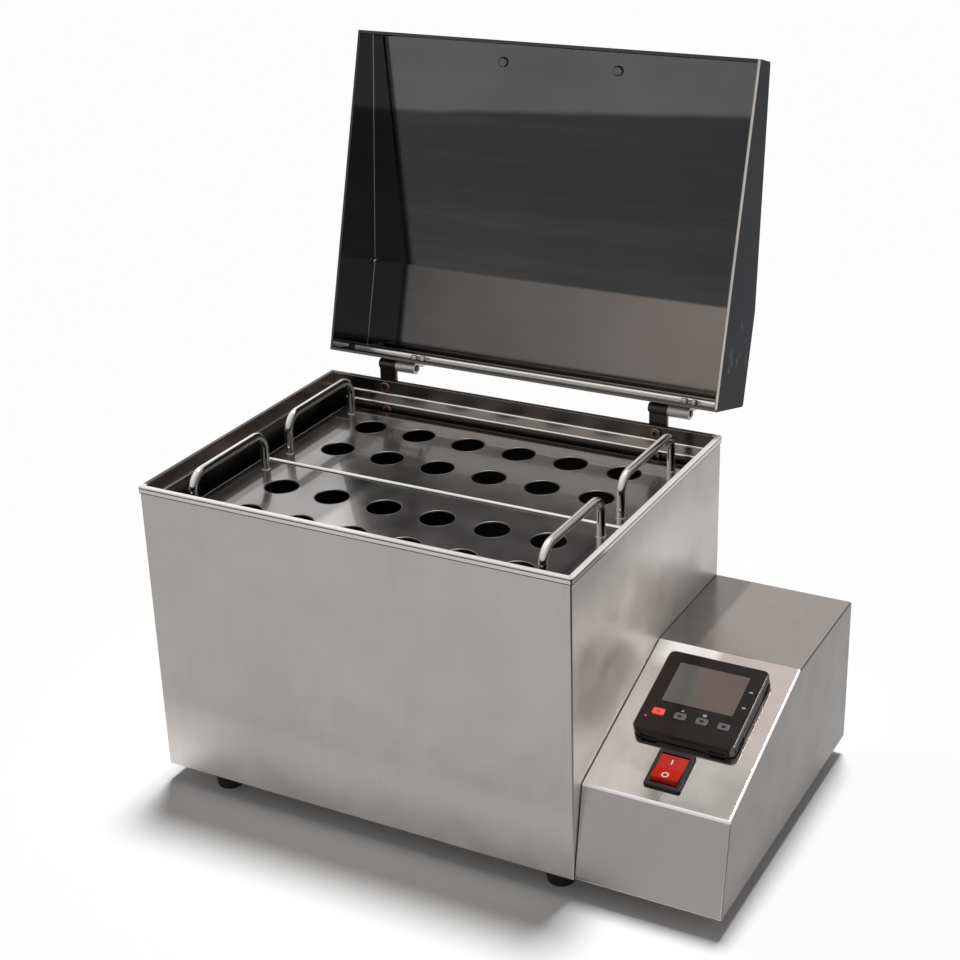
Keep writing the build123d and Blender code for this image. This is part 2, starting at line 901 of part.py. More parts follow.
def bottom_window():
    x0 = housing_left + window_margin
    x1 = housing_right - window_margin
    return x0, x1, slope_bottom_y + window_margin, housing_rear - window_margin


def bottom_screw_spots():
    x0, x1, y0, y1 = bottom_window()
    reach = panel_lap / 2
    return [(x, y) for x in (x0 - reach, x1 + reach) for y in (y0 - reach, y1 + reach)]


def housing_stud_spots():
    # y and z of the studs that stand on the casing and pass through the cover's left flange.
    inset = cover_sheet + cover_flange / 2
    rear = housing_rear - inset
    low = casing_bottom + inset
    high = housing_top - inset
    front = slope_bottom_y + inset
    return [(rear, low), (rear, high), (front, low), (slope_top_y, high)]


def make_control_cover():
    outline = housing_outline()
    cover = extrude(outline, housing_width, dir=(1, 0, 0))
    cover = Pos(housing_left, 0, 0) * cover
    bends = cover.edges().filter_by(Axis.X)
    cover = fillet(bends, cover_bend)
    cover = fillet(cover.faces().sort_by(Axis.X)[-1].edges(), cover_side_edge)
    cover = fillet(cover.faces().sort_by(Axis.X)[0].edges(), cover_seam_edge)
    core_face = offset(outline, -cover_sheet, kind=Kind.INTERSECTION)
    core = extrude(core_face, housing_width - 2 * cover_sheet, dir=(1, 0, 0))
    cover -= Pos(housing_left + cover_sheet, 0, 0) * core
    mouth_face = offset(outline, -cover_sheet - cover_flange, kind=Kind.INTERSECTION)
    cover -= Pos(housing_left - 1, 0, 0) * extrude(mouth_face, 5, dir=(1, 0, 0))
    x0, x1, z0, z1 = window_limits()
    cover -= box_between(x0, x1, housing_rear - 3, housing_rear + 1, z0, z1)
    x0, x1, y0, y1 = bottom_window()
    cover -= box_between(x0, x1, y0, y1, casing_bottom - 1, casing_bottom + 3)
    for x, z in rear_panel_spots():
        near = (x, housing_rear - 3, z)
        cover -= rod_between(near, (x, housing_rear + 1, z), m3_radius + hole_clearance)
    for x, y in bottom_screw_spots():
        low = (x, y, casing_bottom - 1)
        cover -= rod_between(low, (x, y, casing_bottom + 3), m3_radius + hole_clearance)
    for y, z in housing_stud_spots():
        near = (housing_left - 1, y, z)
        far = (housing_left + 3, y, z)
        cover -= rod_between(near, far, housing_stud_radius + 0.2)
    opening = case_size + 2 * cutout_clearance
    cover -= slope_plane(controller_down) * Box(opening, opening, 8)
    cover -= slope_plane(rocker_down) * Box(
        switch_body_width + cutout_clearance, switch_body_height + cutout_clearance, 8
    )
    return cover


def make_housing_studs():
    studs = []
    for y, z in housing_stud_spots():
        start = (housing_left, y, z)
        end = (housing_left + housing_stud_length, y, z)
        stud = rod_between(start, end, housing_stud_radius)
        seat = (housing_left + cover_sheet, y, z)
        stud += hex_along(seat, (1, 0, 0), m4_nut_flats, m4_nut_height)
        studs.append(stud)
    return Compound(studs)


def make_rear_panel():
    x0, x1, z0, z1 = window_limits()
    back = housing_rear + panel_sheet
    lap = panel_lap
    panel = box_between(x0 - lap, x1 + lap, housing_rear, back, z0 - lap, z1 + lap)
    panel = fillet(panel.edges().filter_by(Axis.Y), panel_corner)
    near = housing_rear - 2
    far = back + 2
    middle = inlet_height_above_bench
    half_w = inlet_body_width / 2 + inlet_clearance
    half_h = inlet_body_height / 2 + inlet_clearance
    panel -= box_between(
        inlet_x - half_w, inlet_x + half_w, near, far, middle - half_h, middle + half_h
    )
    for x, z in rear_panel_spots() + inlet_screw_spots():
        panel -= rod_between((x, near, z), (x, far, z), m3_radius + hole_clearance)
    # A row of slots lets warm air out above the inlet.
    half_slot = vent_height / 2
    for i in range(vent_slots):
        z = z1 - vent_top - i * vent_pitch
        slot = box_between(x0 + vent_inset, x1 - vent_inset, near, far, z - half_slot, z + half_slot)
        panel -= fillet(slot.edges().filter_by(Axis.Y), half_slot * 0.95)
    return panel


def make_rear_panel_screws():
    seat_y = housing_rear + panel_sheet
    return Compound(
        [
            screw((x, seat_y, z), (0, 1, 0), m3_radius, m3_short_length, m3_head_radius, m3_head_height)
            for x, z in rear_panel_spots()
        ]
    )


def make_bottom_plate():
    x0, x1, y0, y1 = bottom_window()
    low = casing_bottom + cover_sheet
    lap = panel_lap
    plate = box_between(x0 - lap, x1 + lap, y0 - lap, y1 + lap, low, low + panel_sheet)
    for x, y in bottom_screw_spots():
        plate -= rod_between((x, y, low - 1), (x, y, low + 3), m3_radius + hole_clearance)
    return plate


def make_bottom_screws():
    down = (0, 0, -1)
    z = casing_bottom
    return Compound(
        [
            screw((x, y, z), down, m3_radius, m3_short_length, m3_head_radius, m3_head_height)
            for x, y in bottom_screw_spots()
        ]
    )


def inlet_screw_spots():
    half = inlet_screw_spacing / 2
    return [(inlet_x - half, inlet_height_above_bench), (inlet_x + half, inlet_height_above_bench)]


def make_mains_inlet():
    # Flange outside the rear panel, body through it, and a socket with cut lower corners.
    seat = housing_rear + panel_sheet
    middle = inlet_height_above_bench
    plane = Plane((inlet_x, seat, middle), x_dir=(-1, 0, 0), z_dir=(0, 1, 0))
    flange = RectangleRounded(inlet_flange_width, inlet_flange_height, inlet_flange_corner)
    flange = extrude(flange, inlet_flange_thickness)
    body = extrude(Rectangle(inlet_body_width, inlet_body_height), -inlet_body_depth)
    inlet = flange + body
    half_w = inlet_socket_width / 2
    half_h = inlet_socket_height / 2
    cut = half_h * inlet_corner_share
    mouth = Polyline(
        (-half_w, half_h - cut),
        (-half_w + cut, half_h),
        (half_w - cut, half_h),
        (half_w, half_h - cut),
        (half_w, -half_h),
        (-half_w, -half_h),
        close=True,
    )
    socket = Pos(0, 0, inlet_flange_thickness) * extrude(make_face(mouth), -inlet_socket_depth)
    inlet -= socket
    half_spacing = inlet_screw_spacing / 2
    for x in (-half_spacing, half_spacing):
        inlet -= Pos(x, 0, 0) * Cylinder(m3_radius + hole_clearance, 20)
    return plane * inlet


def make_inlet_pins():
    seat = housing_rear + panel_sheet
    middle = inlet_height_above_bench
    floor = seat + inlet_flange_thickness - inlet_socket_depth
    pins = []
    for x, z in inlet_pin_spots:
        pin = Box(inlet_pin_thickness, inlet_pin_length, inlet_pin_height)
        pin = fillet(pin.edges().group_by(Axis.Y)[-1], inlet_pin_thickness * 0.3)
        pins.append(Pos(inlet_x + x, floor + inlet_pin_length / 2, middle + z) * pin)
    return Compound(pins)


def make_inlet_screws():
    seat_y = housing_rear + panel_sheet + inlet_flange_thickness
    screws = []
    for x, z in inlet_screw_spots():
        bolt = screw(
            (x, seat_y, z), (0, 1, 0), m3_radius, m3_long_length, m3_head_radius, m3_head_height
        )
        bolt += hex_along((x, housing_rear, z), (0, -1, 0), m3_nut_flats, m3_nut_height)
        screws.append(bolt)
    return Compound(screws)


def make_relay():
    # A finned block with a moulded cap, on the housing's bottom plate.
    bottom = casing_bottom + cover_sheet + panel_sheet
    x0 = panel_middle - relay_width / 2
    y0 = slope_top_y
    y1 = y0 + relay_length
    top = bottom + relay_height
    relay = box_between(x0, x0 + relay_width, y0, y1, bottom, top)
    pitch = relay_width / relay_fins
    groove = pitch / 4
    for i in range(relay_fins - 1):
        x = x0 + pitch * (i + 1)
        relay -= box_between(x - groove, x + groove, y0 - 1, y1 + 1, bottom + relay_base, top + 1)
    return relay


def make_terminal_block():
    bottom = casing_bottom + cover_sheet + panel_sheet
    top = bottom + terminal_height
    y0 = slope_top_y - terminal_setback - terminal_width
    x0 = panel_middle - terminal_length / 2
    x1 = x0 + terminal_length
    step_y = y0 + terminal_step
    block = box_between(x0, x1, y0, y0 + terminal_width, bottom, top)
    block -= box_between(x0 - 1, x1 + 1, y0 - 1, step_y, bottom + terminal_step_height, top + 1)
    pitch = terminal_length / terminal_ways
    y = (step_y + y0 + terminal_width) / 2
    for i in range(terminal_ways):
        x = x0 + pitch * (i + 0.5)
        block -= rod_between((x, y, top + 1), (x, y, top - terminal_well_depth), pitch * 0.28)
    return block


def button_places():
    first = -button_pitch * 1.5
    return [first + button_pitch * i for i in range(4)]


def make_controller_bezel():
    # Moulded front frame with a recess for the window and a pocket for each button.
    outer = RectangleRounded(controller_size, controller_size, controller_corner)
    outer = extrude(outer, bezel_thickness)
    outer = fillet(outer.edges().group_by(Axis.Z)[-1], bezel_bevel)
    half = controller_size / 2
    along_x = Box(bezel_slot_length, 2, bezel_slot_height * 2)
    along_y = Box(2, bezel_slot_length, bezel_slot_height * 2)
    for spot in (-bezel_slot_spread, bezel_slot_spread):
        for side in (-half, half):
            outer -= Pos(spot, side, 0) * along_x
            outer -= Pos(side, spot, 0) * along_y
    recess = Box(display_width, display_height, 2 * display_recess)
    outer -= Pos(0, display_up, bezel_thickness) * recess
    hole_w = button_width + 2 * button_gap
    hole_h = button_height + 2 * button_gap
    for x in button_places():
        pocket = RectangleRounded(hole_w, hole_h, button_corner + button_gap)
        pocket = extrude(pocket, -button_pocket)
        outer -= Pos(x, -button_down, bezel_thickness) * pocket
    return slope_plane(controller_down, gasket_thickness) * outer


def make_controller_window():
    glass = Rectangle(display_width - 2 * display_gap, display_height - 2 * display_gap)
    glass = extrude(glass, display_recess)
    lift = gasket_thickness + bezel_thickness - display_recess
    return slope_plane(controller_down, lift) * (Pos(0, display_up, 0) * glass)


def make_controller_gasket():
    outer = controller_size - 1
    inner = case_size + 2 * gasket_clearance
    gasket = extrude(RectangleRounded(outer, outer, controller_corner), gasket_thickness)
    gasket -= Box(inner, inner, 8)
    return slope_plane(controller_down) * gasket


def make_controller_case():
    reach = case_depth + gasket_thickness
    case = extrude(Rectangle(case_size, case_size), -reach)
    case = chamfer(case.edges().group_by(Axis.Z)[0], case_edge)
    # Terminal rows across the rear of the case.
    row = Box(case_size - 2 * case_row_inset, case_row_width, 2 * case_row_depth)
    for y in (-case_row_spread, case_row_spread):
        case -= Pos(0, y, -reach) * row
    return slope_plane(controller_down, gasket_thickness) * case


def make_controller_clips():
    clips = []
    inner = case_size / 2
    block = Box(clip_width, clip_length, clip_height)
    for side in (-1, 1):
        x = side * (inner + clip_width / 2)
        clip = Pos(x, 0, -cover_sheet - clip_height / 2) * block
        clips.append(slope_plane(controller_down) * clip)
    return Compound(clips)


def make_controller_button(place):
    thickness = button_pocket + button_proud - button_travel - button_floor_gap
    cap = extrude(RectangleRounded(button_width, button_height, button_corner), -thickness)
    cap = fillet(cap.edges().group_by(Axis.Z)[-1], 0.5)
    lift = gasket_thickness + bezel_thickness + button_proud
    return slope_plane(controller_down, lift) * (Pos(place, -button_down, 0) * cap)


def make_switch_frame():
    # Flange on the panel and a deep body, open at the front for the rocker.
    flange = extrude(RectangleRounded(switch_width, switch_height, switch_corner), switch_flange)
    flange = fillet(flange.edges().group_by(Axis.Z)[-1], 0.8)
    body = extrude(Rectangle(switch_body_width, switch_body_height), -switch_body_depth)
    frame = flange + body
    well_w = rocker_width + 2 * rocker_side_gap
    well_h = 2 * (rocker_radius + rocker_end_gap)
    upward = (Align.CENTER, Align.CENTER, Align.MIN)
    well = Box(well_w, well_h, switch_well_depth, align=upward)
    frame -= Pos(0, 0, switch_flange - switch_well_depth) * well
    bore = Cylinder(rocker_pin_radius + rocker_pin_gap, switch_body_width + 2)
    frame -= Pos(0, 0, -rocker_pivot_depth) * Rot(0, 90, 0) * bore
    tab = Box(switch_tab_width, switch_tab_thickness, switch_tab_length)
    for y in switch_tabs:
        frame += Pos(0, y, -switch_body_depth - switch_tab_length / 2) * tab
    return slope_plane(rocker_down) * frame


def make_power_rocker():
    # Side view: two flats that meet over the pivot. The upper one lies level and the lower one
    # stands up, so the switch is on. The ends are arcs about the pivot.
    level = switch_flange + rocker_rise + rocker_pivot_depth
    reach = rocker_radius + 1
    raised = level + reach * math.tan(math.radians(rocker_angle))
    points = [
        (-reach, -rocker_skirt),
        (-reach, raised),
        (0, level),
        (reach, level),
        (reach, -rocker_skirt),
    ]
    side = make_face(Polyline(*points, close=True)) & Circle(rocker_radius)
    body = extrude(Plane.YZ * side, rocker_width / 2, both=True)
    body += Rot(0, 90, 0) * Cylinder(rocker_pin_radius, switch_body_width)
    return slope_plane(rocker_down, -rocker_pivot_depth) * body


def make_parts():
    parts = {
        "outer_casing": make_outer_casing(),
        "rim_trim": make_rim_trim(),
        "inner_tank": make_inner_tank(),
        "insulation_wrap": make_insulation_wrap(),
        "backing_strip": make_backing_strip(),
        "base_plate": make_base_plate(),
        "floor_board": make_floor_board(),
        "feet": make_feet(),
        "foot_screws": make_foot_screws(),
        "heater_pad": make_heater(),
        "heater_clamp": make_heater_clamp(),
        "heater_studs": make_heater_studs(),
        "safety_thermostat": make_thermostat(),
        "temperature_probe": make_probe(),
        "probe_nut": make_probe_nut(),
        "hinge_pins": make_hinge_pins(),
        "hinge_bolts": make_hinge_bolts(),
        "hinge_nuts": make_hinge_nuts(),
        "lid_shell": open_lid(make_lid_shell()),
        "lid_handle": open_lid(make_lid_handle()),
        "lid_handle_screws": open_lid(make_lid_handle_screws()),
        "leaf_screws": open_lid(make_leaf_screws()),
        "control_cover": make_control_cover(),
        "housing_studs": make_housing_studs(),
        "rear_panel": make_rear_panel(),
        "rear_panel_screws": make_rear_panel_screws(),
        "bottom_plate": make_bottom_plate(),
        "bottom_plate_screws": make_bottom_screws(),
        "mains_inlet": make_mains_inlet(),
        "inlet_pins": make_inlet_pins(),
        "inlet_screws": make_inlet_screws(),
        "power_relay": make_relay(),
        "terminal_block": make_terminal_block(),
        "controller_bezel": make_controller_bezel(),
        "controller_window": make_controller_window(),
        "controller_gasket": make_controller_gasket(),
        "controller_case": make_controller_case(),
        "controller_clips": make_controller_clips(),
        "switch_frame": make_switch_frame(),
        "power_rocker": make_power_rocker(),
    }
    for name, hinge_x in zip(("left", "right"), hinge_places):
        parts[f"{name}_hinge_base"] = make_hinge_base(hinge_x)
        parts[f"{name}_hinge_leaf"] = open_lid(make_hinge_leaf(hinge_x))
    for name, side in (("front", -1), ("rear", 1)):
        parts[f"{name}_rack_plate"] = make_rack_plate(side)
        parts[f"{name}_rack_shelf"] = make_rack_shelf(side)
        parts[f"{name}_rack_left_wire"] = make_wire_frame(side, -wire_x)
        parts[f"{name}_rack_right_wire"] = make_wire_frame(side, wire_x)
    for i, place in enumerate(button_places()):
        parts[f"controller_button_{i + 1}"] = make_controller_button(place)
    return parts


os.makedirs("parts", exist_ok=True)
to_outline_middle = Pos(-outline_middle_x, -outline_middle_y, 0)
for node, shape in make_parts().items():
    export_step(to_outline_middle * shape, f"parts/{node}.step")
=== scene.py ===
import bmesh
import bpy
import math
from mathutils import Matrix, Vector


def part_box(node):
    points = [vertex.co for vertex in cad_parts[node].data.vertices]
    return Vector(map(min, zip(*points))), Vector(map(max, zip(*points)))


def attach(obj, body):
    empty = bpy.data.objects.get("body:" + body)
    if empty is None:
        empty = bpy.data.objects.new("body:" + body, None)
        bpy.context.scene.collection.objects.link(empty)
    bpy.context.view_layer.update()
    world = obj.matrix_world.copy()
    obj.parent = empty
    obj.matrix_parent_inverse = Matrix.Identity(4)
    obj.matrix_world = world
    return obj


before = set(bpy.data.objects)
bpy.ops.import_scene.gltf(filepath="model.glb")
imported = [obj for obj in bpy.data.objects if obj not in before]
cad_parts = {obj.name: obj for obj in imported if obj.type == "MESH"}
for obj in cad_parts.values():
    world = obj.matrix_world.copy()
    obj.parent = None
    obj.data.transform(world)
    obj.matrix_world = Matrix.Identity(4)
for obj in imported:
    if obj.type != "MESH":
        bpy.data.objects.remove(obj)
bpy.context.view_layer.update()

print("frame loaded:", len(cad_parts), "nodes")


def at(x, y, z):
    # millimetres from the tank's centre on the bench, as the drawing gives them
    return Vector(((x - 51.0) / 1000, (y - 57.4) / 1000, z / 1000))


# camera, floor and light

camera = dict(eye=(604.6, -1033.2, 751.1), azimuth=-28.88, elevation=23.94, roll=-1.76, lens=69.75)


def setCamera(look):
    az, el, roll = (math.radians(look[k]) for k in ("azimuth", "elevation", "roll"))
    ahead = Vector((math.cos(el) * math.sin(az), math.cos(el) * math.cos(az), -math.sin(el)))
    right = ahead.cross(Vector((0, 0, 1))).normalized()
    up = right.cross(ahead)
    tiltedRight = right * math.cos(roll) + up * math.sin(roll)
    tiltedUp = up * math.cos(roll) - right * math.sin(roll)
    data = bpy.data.cameras.new("camera")
    data.lens = look["lens"]
    data.sensor_width = 36
    data.clip_start, data.clip_end = 0.05, 90
    eye = bpy.data.objects.new("camera", data)
    turn = Matrix((tiltedRight, tiltedUp, -ahead)).transposed().to_4x4()
    eye.matrix_world = Matrix.Translation(at(*look["eye"])) @ turn
    bpy.context.scene.collection.objects.link(eye)
    bpy.context.scene.camera = eye


def addNode(tree, kind, inputs=None, **settings):
    node = tree.nodes.new(kind)
    for key, value in settings.items():
        setattr(node, key, value)
    for key, value in (inputs or {}).items():
        if isinstance(value, bpy.types.NodeSocket):
            tree.links.new(value, node.inputs[key])
        else:
            node.inputs[key].default_value = value
    return node


def maths(tree, operation, first, second=0.0, clamp=False):
    node = addNode(tree, "ShaderNodeMath", {0: first, 1: second}, operation=operation,
                   use_clamp=clamp)
    return node.outputs[0]


def seenRays(tree):
    # 1 for what the camera, metal or glass sees, 0 for the light that falls on the object
    rays = addNode(tree, "ShaderNodeLightPath").outputs
    seen = maths(tree, "ADD", rays["Is Camera Ray"], rays["Is Glossy Ray"])
    return maths(tree, "ADD", seen, rays["Is Transmission Ray"], clamp=True)


studio = dict(skyLight=0.15, skySeen=0.98, skyTint=(1.0, 0.99, 0.98), floorTone=0.95,
              floorGlow=0.02, floorSize=60.0)


def setStudio(look):
    world = bpy.data.worlds.new("studio")
    world.use_nodes = True
    sky = world.node_tree
    background = sky.nodes["Background"]
    background.inputs["Color"].default_value = (*look["skyTint"], 1)
    strength = addNode(sky, "ShaderNodeMapRange", {
        "Value": seenRays(sky), "To Min": look["skyLight"], "To Max": look["skySeen"]})
    sky.links.new(strength.outputs["Result"], background.inputs["Strength"])
    bpy.context.scene.world = world

    half = look["floorSize"] / 2
    mesh = bpy.data.meshes.new("floor")
    mesh.from_pydata([(-half, -half, 0), (half, -half, 0), (half, half, 0), (-half, half, 0)], [],
                     [(0, 1, 2, 3)])
    floor = bpy.data.objects.new("floor", mesh)
    bpy.context.scene.collection.objects.link(floor)
    material = bpy.data.materials.new("floor")
    material.use_nodes = True
    tree = material.node_tree
    tree.nodes.clear()
    paper = addNode(tree, "ShaderNodeBsdfDiffuse", {"Color": (look["floorTone"],) * 3 + (1,)})
    glow = addNode(tree, "ShaderNodeEmission", {"Strength": look["floorGlow"]})
    both = addNode(tree, "ShaderNodeAddShader")
    tree.links.new(paper.outputs[0], both.inputs[0])
    tree.links.new(glow.outputs[0], both.inputs[1])
    choose = addNode(tree, "ShaderNodeMixShader", {0: seenRays(tree)})
    tree.links.new(paper.outputs[0], choose.inputs[1])
    tree.links.new(both.outputs[0], choose.inputs[2])
    out = addNode(tree, "ShaderNodeOutputMaterial")
    tree.links.new(choose.outputs[0], out.inputs["Surface"])
    mesh.materials.append(material)
    bpy.context.scene.view_settings.view_transform = "Standard"


topLight = dict(towards=(-0.04, 0.25, 1.0), strength=2.8, softness=12)


def addTopLight(look):
    # one broad soft light overhead, a little behind, which keeps the shadow close to the base
    data = bpy.data.lights.new("topLight", "SUN")
    data.energy = look["strength"]
    data.angle = math.radians(look["softness"])
    lamp = bpy.data.objects.new("topLight", data)
    lamp.rotation_mode = "QUATERNION"
    lamp.rotation_quaternion = Vector(look["towards"]).to_track_quat("Z", "Y")
    bpy.context.scene.collection.objects.link(lamp)


setCamera(camera)
setStudio(studio)
addTopLight(topLight)
print("camera, floor and light set")


# where the lid and the sloping panel are

hinge = dict(y=128.2, z=247.0, open=105.8)
slope = dict(topY=15.0, topZ=125.5, run=126.5, fall=44.0, middleX=215.6)
slopeTilt = math.atan2(slope["fall"], slope["run"])


def onOpenLid(x, y, z):
    # a point of the closed lid, carried to where it is with the lid open
    turn = math.radians(-hinge["open"])
    back, up = y - hinge["y"], z - hinge["z"]
    return at(x, hinge["y"] + back * math.cos(turn) - up * math.sin(turn),
              hinge["z"] + back * math.sin(turn) + up * math.cos(turn))


def onSlope(down):
    # axes on the sloping panel: right, up the slope and out of it
    spot = at(slope["middleX"], slope["topY"] - down * math.cos(slopeTilt),
              slope["topZ"] - down * math.sin(slopeTilt))
    right = Vector((1, 0, 0))
    up = Vector((0, math.cos(slopeTilt), math.sin(slopeTilt)))
    turn = Matrix((right, up, right.cross(up))).transposed().to_4x4()
    return Matrix.Translation(spot) @ turn


# helpers for materials

def startMaterial(name):
    material = bpy.data.materials.new(name)
    material.use_nodes = True
    tree = material.node_tree
    return material, tree, tree.nodes["Principled BSDF"]


def noise(tree, vector, scale, detail=3.0, roughness=0.5):
    node = addNode(tree, "ShaderNodeTexNoise", {"Vector": vector, "Scale": scale,
                                                "Detail": detail, "Roughness": roughness})
    return node.outputs["Fac"]


def spread(tree, value, low, high, newLow, newHigh):
    node = addNode(tree, "ShaderNodeMapRange", {"Value": value, "From Min": low, "From Max": high,
                                                "To Min": newLow, "To Max": newHigh})
    return node.outputs["Result"]


def between(tree, value, low, high, soft):
    # 1 from low to high, with soft ends
    rise = spread(tree, value, low - soft, low + soft, 0, 1)
    fall = spread(tree, value, high - soft, high + soft, 1, 0)
    return maths(tree, "MULTIPLY", rise, fall)


def blendColour(tree, amount, first, second):
    node = tree.nodes.new("ShaderNodeMix")
    node.data_type = "RGBA"
    sockets = [s for s in node.inputs if s.enabled]
    for socket, value in zip(sockets, (amount, first, second)):
        if isinstance(value, bpy.types.NodeSocket):
            tree.links.new(value, socket)
        else:
            socket.default_value = value
    return [s for s in node.outputs if s.enabled][0]


def rgba(colour):
    return (*colour, 1.0)


def scaled(colour, factor):
    return tuple(min(1.0, c * factor) for c in colour)


def stretched(tree, where, scale):
    return addNode(tree, "ShaderNodeMapping", {"Vector": where, "Scale": scale}).outputs[0]


def split(tree, vector):
    return addNode(tree, "ShaderNodeSeparateXYZ", {0: vector}).outputs


def product(tree, *values):
    result = values[0]
    for value in values[1:]:
        result = maths(tree, "MULTIPLY", result, value)
    return result


def opposite(tree, value):
    return maths(tree, "SUBTRACT", 1.0, value)


def largest(tree, first, second):
    return maths(tree, "MAXIMUM", first, second)


def dot(tree, vector, direction):
    node = addNode(tree, "ShaderNodeVectorMath", {0: vector, 1: direction}, operation="DOT_PRODUCT")
    return node.outputs["Value"]


def offCentre(tree, place):
    # distances from the tank's middle, in metres
    centre = at(0, 0, 0)
    return (maths(tree, "SUBTRACT", place["X"], centre.x),
            maths(tree, "SUBTRACT", place["Y"], centre.y))


def rounded(tree, part):
    # 1 on a rounded edge, 0 on the flat faces beside it
    return between(tree, maths(tree, "ABSOLUTE", part), 0.20, 0.97, 0.02)


# steel sheet, bar and fittings

def steelMaterial(name, look):
    material, tree, shader = startMaterial(name)
    spot = addNode(tree, "ShaderNodeTexCoord").outputs
    where = spot["Object"]
    grain = noise(tree, stretched(tree, where, look["grain"]), 1.0, 6.0, 0.6)
    cloud = noise(tree, where, look.get("cloudScale", 9.0), 3.0, 0.55)
    smear = noise(tree, where, look.get("smearScale", 38.0), 2.0, 0.5)
    # the tones of each face, then rolled grain and cloudy patches
    plain = addNode(tree, "ShaderNodeRGB")
    plain.outputs[0].default_value = rgba(look["tint"])
    tint, rough, bright = plain.outputs[0], look["rough"], None
    if look.get("faces"):
        tint, rough, bright = look["faces"](tree, spot, tint, rough)
    grainTone = spread(tree, grain, 0.3, 0.7, 1 - look["grainTone"], 1 + look["grainTone"])
    cloudTone = spread(tree, cloud, 0.35, 0.65, 1.0, 1 - look.get("cloudTone", 0.05))
    tone = maths(tree, "MULTIPLY", grainTone, cloudTone)
    shade = addNode(tree, "ShaderNodeVectorMath", {0: tint, 1: tone}, operation="MULTIPLY")
    tree.links.new(shade.outputs[0], shader.inputs["Base Color"])
    wiped = spread(tree, smear, 0.3, 0.7, 0.86, 1.16)
    tree.links.new(maths(tree, "MULTIPLY", wiped, rough), shader.inputs["Roughness"])
    shader.inputs["Metallic"].default_value = 1.0
    if bright is not None:
        # painted highlights: where bright is marked the steel turns nearly matte, so it lights up
        # from all sides
        tree.links.new(spread(tree, bright, 0, 1, 1, 0.15), shader.inputs["Metallic"])
    if look.get("grazing"):
        shader.inputs["Specular Tint"].default_value = rgba((look["grazing"],) * 3)
    if look.get("polish"):
        shader.inputs["Coat Weight"].default_value = 1.0
        shader.inputs["Coat IOR"].default_value = look["polish"]
        shader.inputs["Coat Roughness"].default_value = 0.04
    bump = addNode(tree, "ShaderNodeBump", {"Height": grain, "Strength": look["bump"],
                                            "Distance": 0.0002})
    tree.links.new(bump.outputs[0], shader.inputs["Normal"])
    return material


casingTones = dict(streak=(0.27, 0.255, 0.245), streakAmount=0.25, streakScale=(30, 26, 1.2),
                   beside=(0.76, 0.735, 0.71), besideTop=(0.225, 0.185), besideBack=(-0.03, 0.07),
                   besideAtBack=0.22, low=(0.70, 0.67, 0.65), lowTop=0.070, lowFull=0.010,
                   corner=(0.030, 0.027, 0.025), cornerLine=0.0010, right=0.1650, front=-0.1245)


def casingFaces(tree, spot, tint, rough):
    # soft streaks down the sides, dark bent corners, and a lighter patch where the polished
    # housing throws light back on the wall
    tones = casingTones
    normal, place = split(tree, spot["Normal"]), split(tree, spot["Object"])
    side = maths(tree, "ABSOLUTE", normal["X"])
    streak = noise(tree, stretched(tree, spot["Object"], tones["streakScale"]), 1.0, 2.0, 0.5)
    streaks = product(tree, spread(tree, streak, 0.35, 0.65, 0, 1), side, tones["streakAmount"])
    tint = blendColour(tree, streaks, tint, rgba(tones["streak"]))
    x, y = offCentre(tree, place)
    beside = product(tree, spread(tree, place["Z"], *tones["besideTop"], 0, 1),
                     spread(tree, y, *tones["besideBack"], 1, tones["besideAtBack"]),
                     spread(tree, normal["X"], 0.8, 0.95, 0, 1))
    tint = blendColour(tree, beside, tint, rgba(tones["beside"]))
    # the foot of the walls mirrors the bright bench in front of the shadow
    low = product(tree, spread(tree, place["Z"], tones["lowTop"], tones["lowFull"], 0, 1),
                  spread(tree, maths(tree, "ABSOLUTE", normal["Z"]), 0.3, 0.1, 0, 1))
    tint = blendColour(tree, low, tint, rgba(tones["low"]))
    # painted dark reflection: the bent corner reads as a dark line, which fades on its way down
    soft = 0.0002
    right, front = tones["right"] - tones["cornerLine"], tones["front"] + tones["cornerLine"]
    nearRight = spread(tree, x, right - soft, right + soft, 0, 1)
    nearFront = spread(tree, y, front + soft, front - soft, 0, 1)
    line = product(tree, nearRight, nearFront, spread(tree, place["Z"], 0.05, 0.17, 0.15, 0.95))
    bent = product(tree, rounded(tree, normal["X"]), rounded(tree, normal["Y"]),
                   spread(tree, place["Z"], 0.03, 0.20, 0.35, 0.95))
    corner = largest(tree, bent, line)
    return blendColour(tree, corner, tint, rgba(tones["corner"])), rough, None


coverTones = dict(slopeLeft=(0.58, 0.55, 0.53), slopeRight=(0.53, 0.455, 0.43),
                  slopeLow=(0.47, 0.455, 0.43), slopeRough=0.11, front=(0.30, 0.285, 0.272),
                  side=(0.128, 0.120, 0.115), topLeft=(0.20, 0.187, 0.178), topLeftEnd=0.192,
                  edge=(0.93, 0.90, 0.88), darkEdge=(0.09, 0.082, 0.078),
                  brownEdge=(0.15, 0.125, 0.11), leftEdge=(0.03, 0.027, 0.025), wave=(16, 26, 26))


